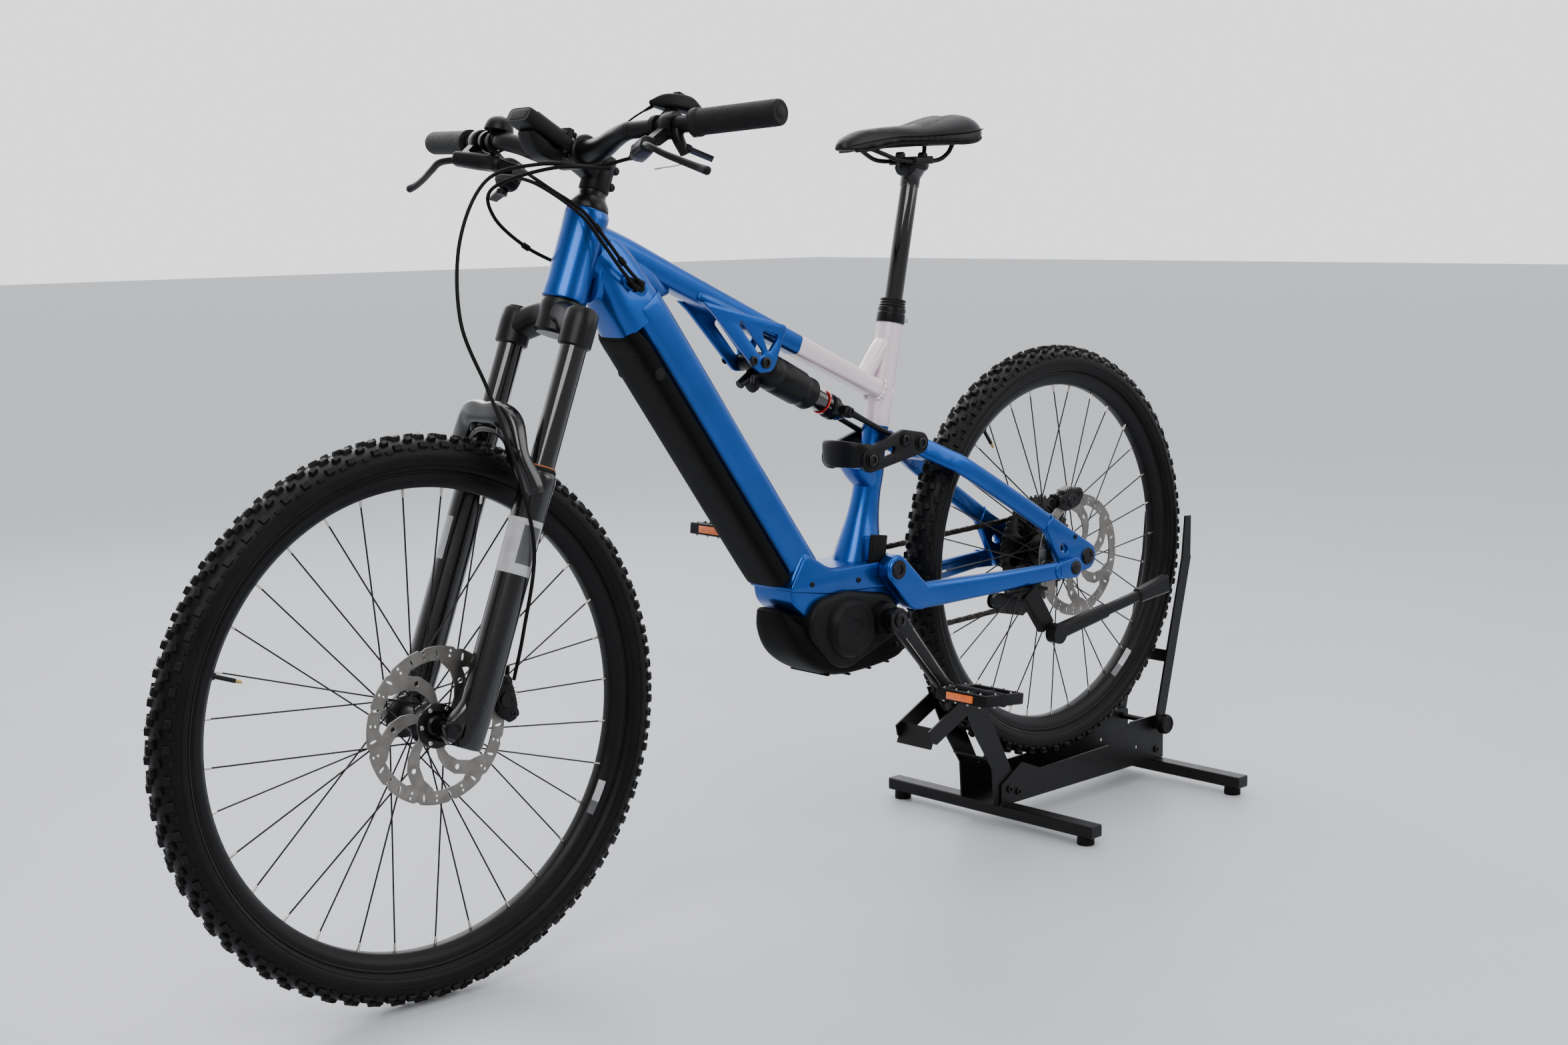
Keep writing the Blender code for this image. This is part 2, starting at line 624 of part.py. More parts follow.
def build_cassette():
    profile = [(0.0130, 0.0340), (0.0260, 0.0340), (0.0270, 0.0250), (0.0480, 0.0160), (0.0700, 0.0060),
               (0.0930, 0.0020), (0.0930, 0.0000), (0.0250, 0.0000), (0.0250, 0.0060), (0.0130, 0.0060)]
    body = lathe(profile, at(REAR_AXLE, 0.0300), (0.0, 1.0, 0.0), steps=24, closed=True)
    return join("cassette", BLACK_METAL, [body], at(REAR_AXLE, 0.0300))


PULLEY_UPPER = (1.262, 0.338)
PULLEY_LOWER = (1.196, 0.352)


def build_derailleur():
    hanger = plate([hull_outline([(1.272, 0.398, 0.0090), (1.283, 0.366, 0.0110)])], 0.0800, 0.0880)
    knuckle = pin((1.283, 0.362), 0.0640, 0.0900, 0.0150)
    arm = beam((1.283, 0.0780, 0.362), (PULLEY_UPPER[0] - 0.002, 0.0780, PULLEY_UPPER[1] + 0.006), (0.0220, 0.026),
               (0.0200, 0.030), bevel=0.003)
    tip = pin((PULLEY_UPPER[0], PULLEY_UPPER[1]), 0.0660, 0.0880, 0.0170)
    return join("derailleur", BLACK_METAL, [knuckle, hanger, arm, tip], at((1.283, 0.362)))


def build_derailleur_cage():
    solids = []
    for y_from, y_to in ((0.0620, 0.0640), (0.0480, 0.0500)):
        solids.append(plate([hull_outline([(*PULLEY_UPPER, 0.0140), (*PULLEY_LOWER, 0.0140)])], y_from, y_to))
    for centre in (PULLEY_UPPER, PULLEY_LOWER):
        solids.append(pin(centre, 0.0490, 0.0630, 0.0110, sides=14))
    return join("derailleur_cage", BLACK_METAL, solids, at(PULLEY_UPPER, 0.0560))


def build_chain():
    """Closed in the drive position: chainring, cassette, both pulleys and back."""
    ring_y, sprocket_y, pulley_y = 0.0640, 0.0470, 0.0560
    loop = []

    def arc(centre, radius, y, first, last, count):
        for step in range(count + 1):
            angle = math.radians(first + (last - first) * step / count)
            loop.append((centre[0] + radius * math.cos(angle), y, centre[1] + radius * math.sin(angle)))

    arc(BOTTOM_BRACKET, 0.0752, ring_y, -92.0, -268.0, 8)
    arc(REAR_AXLE, 0.0560, sprocket_y, 86.0, -40.0, 6)
    arc(PULLEY_UPPER, 0.0175, pulley_y, 10.0, -80.0, 3)
    arc(PULLEY_LOWER, 0.0175, pulley_y, -80.0, -100.0, 1)
    loop.append((BOTTOM_BRACKET[0] + 0.006, ring_y, BOTTOM_BRACKET[1] - 0.0752))
    return join("chain", BLACK_METAL, [tube(loop, 0.0032, resolution=0)], at(BOTTOM_BRACKET, ring_y))


def build_kickstand():
    mount = beam((1.105, -0.0880, 0.3960), (1.142, -0.0960, 0.3350), (0.016, 0.036), (0.016, 0.032), bevel=0.003)
    plate_top = beam((1.070, -0.0770, 0.3950), (1.150, -0.0830, 0.3970), (0.020, 0.005), (0.020, 0.005))
    holder = join("kickstand_bracket", BLACK_METAL, [mount, plate_top], (1.110, -0.0800, 0.396),
                  [box((0.060, 0.0300, 0.060), (KICKSTAND_PIVOT[0] + 0.022, -0.0960, KICKSTAND_PIVOT[1] - 0.036))])
    tip = Vector((1.435, -0.1190, 0.372))
    base = Vector((KICKSTAND_PIVOT[0], -0.1120, KICKSTAND_PIVOT[1]))
    along = tip - base
    solids = [rod(base + Vector((0.0, -0.012, 0.0)), base + Vector((0.0, 0.007, 0.0)), 0.0165),
              beam(base, base + along * 0.45, (0.018, 0.024), (0.018, 0.022), bevel=0.004),
              beam(base + along * 0.40, base + along * 0.80, (0.014, 0.017), (0.014, 0.017), bevel=0.003),
              beam(base + along * 0.72, tip, (0.020, 0.022), (0.018, 0.032), bevel=0.004)]
    leg = join("kickstand_leg", BLACK_METAL, solids, base)
    return holder, leg


# ---- wheels and brakes ------------------------------------------------------
def build_wheel(name, centre, rim_r, flanges, hub_ends, hub_profile, parent):
    """Rim, hub and crossed spokes as one piece, in the wheel's own directions."""
    outer = rim_r + RIM_DEPTH
    rim = lathe([(rim_r, 0.0085), (outer - 0.006, RIM_HALF_WIDTH), (outer, RIM_HALF_WIDTH),
                 (outer, -RIM_HALF_WIDTH), (outer - 0.006, -RIM_HALF_WIDTH), (rim_r, -0.0085)],
                centre, (0.0, 1.0, 0.0), parent, steps=36, closed=True)
    hub = lathe([(0.0, hub_ends[1])] + hub_profile + [(0.0, hub_ends[0])], centre, (0.0, 1.0, 0.0), parent, steps=12)
    work = bmesh.new()
    for index in range(SPOKES):
        flange = flanges[index % 2]
        pair = index // 2
        lean = 1.0 if pair % 2 else -1.0
        rim_angle = TAU * index / SPOKES
        hub_angle = rim_angle + lean * math.radians(62.0)
        shift = lean * 0.0014
        start = Vector((0.0225 * math.cos(hub_angle), flange + shift, 0.0225 * math.sin(hub_angle)))
        end = Vector(((rim_r + 0.003) * math.cos(rim_angle), shift * 1.2 + flange * 0.08,
                      (rim_r + 0.003) * math.sin(rim_angle)))
        along = end - start
        frame = Matrix.Translation(Vector(centre) + (start + end) / 2) @ along.to_track_quat("Z", "Y").to_matrix().to_4x4()
        bmesh.ops.create_cone(work, cap_ends=True, segments=3, radius1=SPOKE_R, radius2=SPOKE_R, depth=along.length,
                              matrix=frame)
    mesh = bpy.data.meshes.new("spokes")
    work.to_mesh(mesh)
    work.free()
    spokes = link("spokes", mesh, parent)
    return join(name, BLACK_METAL, [hub, spokes, rim], centre, parent=parent)


def build_tyre(name, centre, rim_r, tyre_r, parent):
    bead = rim_r + RIM_DEPTH + GAP
    half = TYRE_HALF_WIDTH
    rise = tyre_r - bead
    outside = [(bead, 0.0160), (bead + 0.30 * rise, half - 0.0015), (bead + 0.62 * rise, half), (tyre_r, 0.0130)]
    inside = [(bead, 0.0125), (bead + 0.32 * rise, half - 0.0015 - TYRE_WALL), (bead + 0.84 * rise, 0.0130)]
    profile = [(r, y) for r, y in outside] + [(r, -y) for r, y in reversed(outside)]
    profile += [(r, -y) for r, y in inside] + [(r, y) for r, y in reversed(inside)]
    return join(name, TYRE, [lathe(profile, centre, (0.0, 1.0, 0.0), parent, steps=36, closed=True)], centre)


def build_rotor(name, centre, parent):
    x, z = centre[0], centre[2]
    outlines = [circle(x, z, ROTOR_R, 40), circle(x, z, 0.0180, 16)]
    for arm in range(6):
        start = TAU * arm / 6
        window = [(x + 0.0830 * math.cos(start + a), z + 0.0830 * math.sin(start + a))
                  for a in (0.10, 0.28, 0.46, 0.64, 0.82, 0.94)]
        window += [(x + 0.0300 * math.cos(start + a), z + 0.0300 * math.sin(start + a)) for a in (0.35, 0.05, -0.28)]
        outlines.append(window)
    disc = plate(outlines, centre[1] - ROTOR_THICKNESS / 2, centre[1] + ROTOR_THICKNESS / 2, parent)
    return join(name, STEEL, [disc], centre)


def build_caliper(name, centre, rotor_y, turn, parent):
    """Two half caliper straddling the rotor."""
    body = box((0.060, 0.0260, 0.0340), centre, parent, turn_y=turn, bevel=0.005)
    slot = box((0.100, 0.0046, 0.0230), (centre[0], rotor_y, centre[2]), parent, turn_y=turn)
    slot.location += Matrix.Rotation(turn, 3, "Y") @ Vector((0.0, 0.0, -0.008))
    return join(name, BLACK_METAL, [body], centre, [slot])


# ---- fork -------------------------------------------------------------------
def build_fork_upper():
    solids = [rod((0.0, 0.0, -0.100), (0.0, 0.0, 0.136), STEERER_R, STEER, sides=16),
              rod((0.0, 0.0, -0.108), (0.0, 0.0, -0.0635), 0.0285, STEER, radius_end=0.0260, sides=16)]
    for side in (-1, 1):
        solids.append(beam((-0.002, 0.0, -0.086), (LEG_X, side * LEG_Y, -0.106), (0.046, 0.036), (0.036, 0.040), STEER,
                           bevel=0.007, side=(1.0, 0.0, 0.0)))
        solids.append(rod((LEG_X, side * LEG_Y, -0.128), (LEG_X, side * LEG_Y, -0.080), 0.0225, STEER,
                          radius_end=0.0210))
        solids.append(rod((LEG_X, side * LEG_Y, -0.480), (LEG_X, side * LEG_Y, -0.100), STANCHION_R, STEER, sides=14))
    return join("fork_upper", BLACK_PAINT, solids, (0.0, 0.0, -0.0635))


def build_fork_lowers():
    solids = []
    bores = []
    for side in (-1, 1):
        y = side * LEG_Y
        solids.append(lathe([(0.0, LOWERS_TOP), (0.0225, LOWERS_TOP), (LEG_R, -0.560), (0.0200, LEG_BOTTOM + 0.004),
                             (0.0180, LEG_BOTTOM), (0.0, LEG_BOTTOM)], (LEG_X, y, 0.0), (0.0, 0.0, 1.0), STEER, 16))
        solids.append(plate([hull_outline([(*FRONT_AXLE, 0.0150), (LEG_X - 0.006, -0.632, 0.0180)])],
                            side * 0.0560, side * 0.0820, STEER))
        bores.append(rod((LEG_X, y, -0.645), (LEG_X, y, -0.280), STANCHION_R + GAP, STEER, sides=14))
    arch = [(-0.0285, -0.0790, -0.3160), (-0.0450, -0.0700, -0.2850), (-0.0620, -0.0500, -0.2480),
            (-0.0690, -0.0240, -0.2300), (-0.0690, 0.0240, -0.2300), (-0.0620, 0.0500, -0.2480),
            (-0.0450, 0.0700, -0.2850), (-0.0285, 0.0790, -0.3160)]
    for start, end in zip(arch, arch[1:]):
        solids.append(beam(start, end, (0.022, 0.019), (0.022, 0.019), STEER, side=(1.0, 0.0, 0.25)))
    return join("fork_lowers", BLACK_PAINT, solids, (LEG_X, 0.0, LOWERS_TOP), bores)


# ---- cockpit ----------------------------------------------------------------
def build_stem():
    spacer = rod((0.0, 0.0, HEAD_TUBE_LENGTH / 2 + GAP), (0.0, 0.0, 0.098), 0.0185, STEER, radius_end=0.0175)
    clamp = rod((0.0, 0.0, 0.090), (0.0, 0.0, 0.140), 0.0205, STEER)
    face = rod((STEM_CLAMP[0], -0.0270, STEM_CLAMP[1]), (STEM_CLAMP[0], 0.0270, STEM_CLAMP[1]), 0.0225, STEER)
    neck = beam((0.0, 0.0, 0.1150), (STEM_CLAMP[0], 0.0, STEM_CLAMP[1] - 0.002), (0.034, 0.036), (0.046, 0.034), STEER,
                bevel=0.006)
    bolts = [rod((0.018, -0.0130, z), (0.018, 0.0130, z), 0.0060, STEER, sides=12) for z in (0.103, 0.126)]
    cuts = [rod((0.0, 0.0, 0.040), (0.0, 0.0, 0.1372), STEERER_R + GAP, STEER),
            rod((STEM_CLAMP[0], -0.0400, STEM_CLAMP[1]), (STEM_CLAMP[0], 0.0400, STEM_CLAMP[1]),
                BAR_CLAMP_R + GAP, STEER)]
    return join("stem", BLACK_METAL, [clamp, spacer, neck, face] + bolts, (0.0, 0.0, 0.090), cuts)


def bar_spot(y):
    """Point on the straight grip end of the bar at a given distance to the side."""
    s = (abs(y) - GRIP_INNER.y) / (GRIP_OUTER.y - GRIP_INNER.y)
    spot = GRIP_INNER.lerp(GRIP_OUTER, s)
    return Vector((spot.x, y, spot.z))


def build_handlebar():
    right = [Vector((STEM_CLAMP[0], 0.0, STEM_CLAMP[1])), Vector((STEM_CLAMP[0], 0.0400, STEM_CLAMP[1])),
             Vector((-0.0500, 0.0700, 0.1310)), Vector((-0.0600, 0.1050, 0.1375)), bar_spot(0.140),
             bar_spot(0.170), bar_spot(0.3795)]
    thin = BAR_END_R / BAR_CLAMP_R
    sizes = [1.0, 1.0, 0.96, 0.84, 1.06 * thin, thin, thin]
    points = [Vector(mirrored(p)) for p in reversed(right[1:])] + right
    radii = list(reversed(sizes[1:])) + sizes
    return join("handlebar", BLACK_METAL, [tube(points, BAR_CLAMP_R, STEER, radii, resolution=2)],
                (STEM_CLAMP[0], 0.0, STEM_CLAMP[1]))


def build_grip(name, side):
    start, end = bar_spot(side * 0.2480), bar_spot(side * 0.3810)
    along = end - start
    length = along.length
    sleeve = lathe([(0.0, length), (GRIP_R - 0.003, length), (GRIP_R, length - 0.004), (GRIP_R, 0.012),
                    (0.0178, 0.010), (0.0178, 0.0), (0.0, 0.0)], start, along, STEER, steps=16)
    bore = rod(start - along * 0.1, bar_spot(side * 0.3800), BAR_END_R + GAP, STEER)
    return join(name, RUBBER, [sleeve], start, [bore])


def clamp_ring(y, width, radius):
    """Band round the bar at a distance to the side."""
    centre = bar_spot(y)
    along = (bar_spot(y + math.copysign(0.05, y)) - centre).normalized()
    return rod(centre - along * width / 2, centre + along * width / 2, radius, STEER, sides=14)


def bar_bore(y, width, radius=BAR_END_R + GAP):
    centre = bar_spot(y)
    along = (bar_spot(y + math.copysign(0.05, y)) - centre).normalized()
    return rod(centre - along * width, centre + along * width, radius, STEER, sides=14)


def lever_pivot(side):
    return Vector((-0.0830, side * 0.2040, 0.1130))


def build_brake(name, side):
    ring = clamp_ring(side * 0.2120, 0.018, 0.0165)
    body = beam((-0.0560, side * 0.1560, 0.1150), (-0.0860, side * 0.2150, 0.1130), (0.022, 0.022), (0.018, 0.020), STEER,
                bevel=0.004)
    arm = beam((-0.0620, side * 0.2120, 0.1400), (-0.0780, side * 0.2080, 0.1170), (0.014, 0.016), (0.014, 0.014), STEER)
    boot = rod((-0.0580, side * 0.1600, 0.1150), (-0.0460, side * 0.1290, 0.1145), 0.0070, STEER, radius_end=0.0035,
               sides=10)
    pivot = lever_pivot(side)
    room = box((0.048, 0.0400, 0.0190), pivot + Vector((-0.010, side * 0.012, -0.0042)), STEER)
    return join(name, BLACK_METAL, [ring, body, arm, boot], bar_spot(side * 0.2120), [bar_bore(side * 0.2120, 0.03), room])


def build_brake_lever(name, side):
    pivot = lever_pivot(side)
    path = smooth_path([pivot, pivot + Vector((-0.014, side * 0.030, -0.008)), pivot + Vector((-0.002, side * 0.075, -0.022)),
                        pivot + Vector((0.006, side * 0.128, -0.036))], per_span=3)
    radii = [1.0, 1.0, 1.0] + [1.15] * (len(path) - 4) + [1.3]
    blade = tube(path, 0.0040, STEER, radii, resolution=1)
    hub = rod(pivot + Vector((0.0, 0.0, -0.0046)), pivot + Vector((0.0, 0.0, 0.0046)), 0.0070, STEER, sides=14)
    return join(name, BLACK_METAL, [hub, blade], pivot)


def build_shifter():
    ring = clamp_ring(0.1860, 0.008, 0.0150)
    body = beam((-0.0230, 0.1700, 0.1280), (-0.0280, 0.1700, 0.0920), (0.032, 0.034), (0.026, 0.028), STEER, bevel=0.006)
    neck = beam((-0.0540, 0.1860, 0.1360), (-0.0300, 0.1780, 0.1200), (0.008, 0.012), (0.012, 0.014), STEER)
    return join("shifter", PLASTIC, [ring, neck, body], bar_spot(0.186), [bar_bore(0.186, 0.03)])


SHIFT_PIVOT = Vector((-0.0260, 0.1760, 0.0860))


def build_shift_paddle():
    arm = beam(SHIFT_PIVOT, SHIFT_PIVOT + Vector((0.010, 0.034, -0.006)), (0.014, 0.004), (0.012, 0.004), STEER,
               side=(1.0, 0.0, 0.0))
    hub = rod(SHIFT_PIVOT + Vector((0.0, 0.0, -0.004)), SHIFT_PIVOT + Vector((0.0, 0.0, 0.003)), 0.0080, STEER, sides=14)
    return join("shift_paddle", PLASTIC, [hub, arm], SHIFT_PIVOT)


def build_remote():
    ring = clamp_ring(-0.1880, 0.008, 0.0150)
    post = beam((-0.0560, -0.1860, 0.1560), (-0.0400, -0.1900, 0.1870), (0.008, 0.014), (0.008, 0.014), STEER)
    pad = beam((-0.0560, -0.1720, 0.1840), (-0.0300, -0.2160, 0.1900), (0.024, 0.014), (0.020, 0.012), STEER, bevel=0.003)
    pocket = box((0.0136, 0.0136, 0.0100), BUTTON_SPOT + Vector((0.0, 0.0, 0.0036)), STEER)
    return join("control_pad", PLASTIC, [ring, post, pad], bar_spot(-0.188), [bar_bore(-0.188, 0.03), pocket])


BUTTON_SPOT = Vector((-0.0440, -0.1930, 0.1930))


def build_button():
    cap = box((0.0128, 0.0128, 0.0046), BUTTON_SPOT + Vector((0.0, 0.0, 0.0020)), STEER, bevel=0.0012)
    return join("control_button", RUBBER, [cap], BUTTON_SPOT)


DROPPER_PIVOT = Vector((-0.0420, -0.2320, 0.1240))


def build_dropper_lever():
    hub = rod(DROPPER_PIVOT + Vector((0.0, 0.0, -0.004)), DROPPER_PIVOT + Vector((0.0, 0.0, 0.004)), 0.0080, STEER,
              sides=10)
    arm = beam(DROPPER_PIVOT, DROPPER_PIVOT + Vector((0.030, -0.020, -0.004)), (0.014, 0.004), (0.012, 0.004), STEER,
               side=(0.0, 1.0, 0.0))
    return join("dropper_lever", BLACK_METAL, [hub, arm], DROPPER_PIVOT)


def build_bell():
    ring = clamp_ring(0.1600, 0.008, 0.0152)
    spot = bar_spot(0.160)
    dome = lathe([(0.0, 0.020), (0.0100, 0.0185), (0.0170, 0.0130), (0.0200, 0.0040), (0.0200, 0.0), (0.0, 0.0)],
                 spot + Vector((-0.004, -0.004, 0.0135)), (-0.1, 0.0, 1.0), STEER, steps=14)
    return join("bell", BLACK_METAL, [dome, ring], spot, [bar_bore(0.160, 0.012, 0.0124)])


def build_display():
    body = beam((-0.1260, 0.0, 0.1640), (-0.0620, 0.0, 0.1720), (0.052, 0.014), (0.052, 0.014), STEER, bevel=0.003)
    arm = beam((-0.0900, 0.0, 0.1640), (-0.0660, 0.0, 0.1420), (0.022, 0.012), (0.030, 0.010), STEER)
    lug = box((0.010, 0.0440, 0.030), (-0.0730, 0.0, 0.1340), STEER, bevel=0.002)
    return join("display", GLASS, [body, arm, lug], (-0.094, 0.0, 0.168))


# ---- cables -----------------------------------------------------------------
HOSE_R = 0.0025
ROUTES = {
    "front_brake_hose": [(-0.0445, -0.1245, 0.1143), (-0.0560, -0.0700, 0.1020), (-0.1000, -0.0100, 0.0900),
                         (-0.1500, 0.0200, 0.0500), (-0.1700, 0.0100, -0.0400), (-0.1500, -0.0100, -0.1400),
                         (-0.1000, -0.0300, -0.2100), (-0.0830, -0.0560, -0.2500), (-0.0560, -0.0960, -0.3200),
                         (-0.0100, -0.0985, -0.4000), (0.0150, -0.0850, -0.5000), (0.0360, -0.0620, -0.5600)],
    "rear_brake_hose": [(-0.0445, 0.1245, 0.1143), (-0.0700, 0.0800, 0.1040), (-0.0900, 0.0300, 0.0850),
                        (-0.0800, -0.0200, 0.0600), (-0.0350, -0.0480, 0.0200), (0.0250, -0.0470, -0.0300),
                        (0.0820, -0.0436, -0.0600)],
    "shift_cable": [(-0.0300, 0.1480, 0.1020), (-0.0800, 0.1100, 0.0850), (-0.1000, 0.0500, 0.0760),
                    (-0.0920, -0.0100, 0.0620), (-0.0420, -0.0520, 0.0130), (0.0200, -0.0520, -0.0370),
                    (0.0760, -0.0436, -0.0700)],
    "dropper_cable": [(-0.0500, -0.1000, 0.1000), (-0.0900, -0.0300, 0.0880), (-0.1250, 0.0400, 0.0500),
                      (-0.1100, 0.0600, 0.0000), (-0.0500, 0.0620, -0.0500), (0.0200, 0.0560, -0.0700),
                      (0.0760, 0.0436, -0.0760)],
}


def build_cable(name):
    path = smooth_path([Vector(knot) for knot in ROUTES[name]], per_span=3)
    return join(name, RUBBER, [tube(path, HOSE_R, STEER, resolution=0)], path[0])


# ---- saddle -----------------------------------------------------------------
SADDLE_CLAMP = (0.9290, 1.0760)


def build_post():
    top = seat_line(0.226)
    inner = lathe([(0.0, 0.226), (POST_R - 0.0012, 0.226), (POST_R - 0.0012, -0.060), (0.0, -0.060)], at(SEAT_TOP),
                  seat_direction(), steps=16)
    head = beam((top[0] - 0.018, 0.0, top[1] + 0.004), (top[0] + 0.022, 0.0, top[1] + 0.008), (0.036, 0.026), (0.036, 0.022),
                bevel=0.004)
    rails = []
    for side in (-1, 1):
        knots = [(0.838, side * 0.010, 1.0770), (0.862, side * 0.0220, 1.0700), (0.905, side * 0.0220, 1.0665),
                 (0.960, side * 0.0220, 1.0680), (0.990, side * 0.0260, 1.0820), (1.002, side * 0.030, 1.0990)]
        rails.append(tube(smooth_path(knots, 2), 0.0035, resolution=0))
    clamp = box((0.030, 0.0560, 0.012), (SADDLE_CLAMP[0], 0.0, 1.0660), turn_y=math.radians(-2.0), bevel=0.002)
    return join("dropper_post", BLACK_METAL, [inner, head, clamp] + rails, at(SEAT_TOP))


def build_saddle():
    """Padded shell: stations along its length, each (x, half width, top, thickness)."""
    stations = [(0.7680, 0.0090, 1.0980, 0.016), (0.7800, 0.0190, 1.1060, 0.026), (0.8200, 0.0220, 1.1120, 0.030),
                (0.8700, 0.0290, 1.1170, 0.032), (0.9200, 0.0450, 1.1230, 0.032), (0.9650, 0.0630, 1.1310, 0.032),
                (1.0000, 0.0710, 1.1380, 0.032), (1.0230, 0.0660, 1.1400, 0.030), (1.0340, 0.0480, 1.1340, 0.020)]
    ring_angles = [TAU * step / 12 for step in range(12)]
    work = bmesh.new()
    rings = []
    for x, half, top, thick in stations:
        ring = []
        for angle in ring_angles:
            across, high = math.cos(angle), math.sin(angle)
            y = half * math.copysign(abs(across) ** 0.7, across)
            drop = 0.30 * (abs(across) ** 3) * thick
            z = top - thick / 2 + thick / 2 * math.copysign(abs(high) ** 0.8, high) - drop
            ring.append(work.verts.new((x, y, z)))
        rings.append(ring)
    for ring, other in zip(rings, rings[1:]):
        for index in range(12):
            after = (index + 1) % 12
            work.faces.new((ring[index], ring[after], other[after], other[index]))
    work.faces.new(list(reversed(rings[0])))
    work.faces.new(rings[-1])
    bmesh.ops.recalc_face_normals(work, faces=work.faces)
    mesh = bpy.data.meshes.new("saddle")
    work.to_mesh(mesh)
    work.free()
    return join("saddle", COVER, [link("saddle", mesh, BIKE)], (0.905, 0.0, 1.105))


# ---- stand ------------------------------------------------------------------
def build_stand_bar(name, x):
    z = FOOT_HEIGHT + BAR_HEIGHT / 2
    solids = [box((BAR_WIDTH, BAR_LENGTH, BAR_HEIGHT), (x, 0.0, z), bevel=0.0015)]
    for side in (-1, 1):
        solids.append(rod((x, side * (BAR_LENGTH / 2 - 0.022), 0.0), (x, side * (BAR_LENGTH / 2 - 0.022), z), FOOT_R,
                          sides=16))
    return join(name, BLACK_PAINT, solids, (x, 0.0, z))


def build_stand_channel():
    low = FOOT_HEIGHT + BAR_HEIGHT + GAP
    floor = box((0.424, 2 * CHANNEL_HALF - 0.001, SHEET), (1.322, 0.0, low + SHEET / 2))
    solids = [floor]
    side_outline = [(1.098, low), (1.541, low), (1.541, 0.108), (1.534, 0.114), (1.448, 0.114), (1.385, 0.084),
                    (1.200, 0.080), (1.150, 0.100), (1.098, 0.070)]
    for side in (-1, 1):
        inner = side * (CHANNEL_HALF - SHEET)
        hole = circle(1.464, 0.066, 0.0035, 10)
        knob_hole = circle(*STAND_KNOB, 0.0058, 12)
        solids.append(plate([side_outline, hole, knob_hole], inner, side * CHANNEL_HALF))
    return join("stand_channel", BLACK_PAINT, solids, (1.322, 0.0, low))


def build_stand_cradle():
    low = FOOT_HEIGHT + BAR_HEIGHT + SHEET + 2 * GAP
    out = CHANNEL_HALF - SHEET - GAP
    solids = [box((0.070, 2 * out - 0.001, SHEET), (1.118, 0.0, low + SHEET / 2))]
    leg_outline = [(1.084, low), (1.146, low), (1.122, 0.100), (1.046, 0.240), (1.000, 0.240), (1.040, 0.160),
                   (1.080, 0.100)]
    for side in (-1, 1):
        solids.append(plate([leg_outline], side * (out - SHEET), side * out))
        solids.append(plate([[(0.930, 0.172), (0.944, 0.166), (1.030, 0.207), (1.020, 0.236), (0.926, 0.190)]],
                            side * (out - SHEET + 0.0001), side * (out - 0.0001)))
    solids.append(box((SHEET, 2 * out - 0.001, 0.034), (0.9370, 0.0, 0.1760), turn_y=math.radians(25.0)))
    solids.append(box((0.030, 2 * out - 0.001, SHEET), (1.0780, 0.0, 0.1130), turn_y=math.radians(30.7)))
    return join("stand_cradle", BLACK_PAINT, solids, (1.118, 0.0, low))


def build_stand_arms():
    low, high = Vector(at(STAND_KNOB)), Vector((1.600, 0.0, 0.392))
    solids = []
    inner, outer = CHANNEL_HALF + GAP, CHANNEL_HALF + 0.0044
    for side in (-1, 1):
        y = side * (inner + outer) / 2
        thick = outer - inner
        solids.append(beam((low.x, y, low.z - 0.012), (high.x, y, high.z), (thick, 0.024), (thick, 0.024)))
        solids.append(beam((high.x - 0.002, y, high.z - 0.008), (high.x + 0.002, y, 0.462), (thick - 0.0004, 0.024),
                           (thick - 0.0004, 0.016)))
    solids.append(pin(STAND_KNOB, -outer, outer, 0.0050, sides=12))
    strap = beam((1.5560, 0.0, 0.2030), (1.5600, 0.0, 0.2240), (2 * outer - 0.001, 0.004), (2 * outer - 0.001, 0.004))
    return join("stand_arms", BLACK_PAINT, [strap] + solids, at(STAND_KNOB))


def build_stand_knob():
    start = -CHANNEL_HALF - 0.0050
    knob = lathe([(0.0, 0.020), (0.0140, 0.020), (0.0165, 0.016), (0.0165, 0.006), (0.0080, 0.003), (0.0080, 0.0),
                  (0.0, 0.0)], (STAND_KNOB[0], start, STAND_KNOB[1]), (0.0, -1.0, 0.0), steps=20)
    return join("stand_knob", PLASTIC, [knob], (STAND_KNOB[0], start, STAND_KNOB[1]))


build_frame()
build_battery_cover()
build_motor()
build_skid_plate()
build_charge_cover()
build_seat_collar()
build_chainstay()
build_main_axle()
build_seatstay()
build_rocker()
build_shock_body()
build_shock_shaft()
build_crank("crank_left", -1, 1)
build_crank("crank_right", 1, -1)
build_pedal("pedal_left", -1, 1)
build_pedal("pedal_right", 1, -1)
build_chainring()
build_cassette()
build_derailleur()
build_derailleur_cage()
build_chain()
build_kickstand()
FRONT_CENTRE = (FRONT_AXLE[0], 0.0, FRONT_AXLE[1])
REAR_CENTRE = at(REAR_AXLE)
build_wheel("front_wheel", FRONT_CENTRE, FRONT_RIM_R, (-0.0270, 0.0340), (-0.0550, 0.0550),
            [(0.0120, 0.0550), (0.0120, 0.0400), (0.0270, 0.0375), (0.0270, 0.0305), (0.0170, 0.0270),
             (0.0160, -0.0200), (0.0290, -0.0235), (0.0290, -0.0305), (0.0220, -0.0380), (0.0170, -0.0415),
             (0.0170, -0.0460), (0.0110, -0.0460), (0.0110, -0.0550)], STEER)
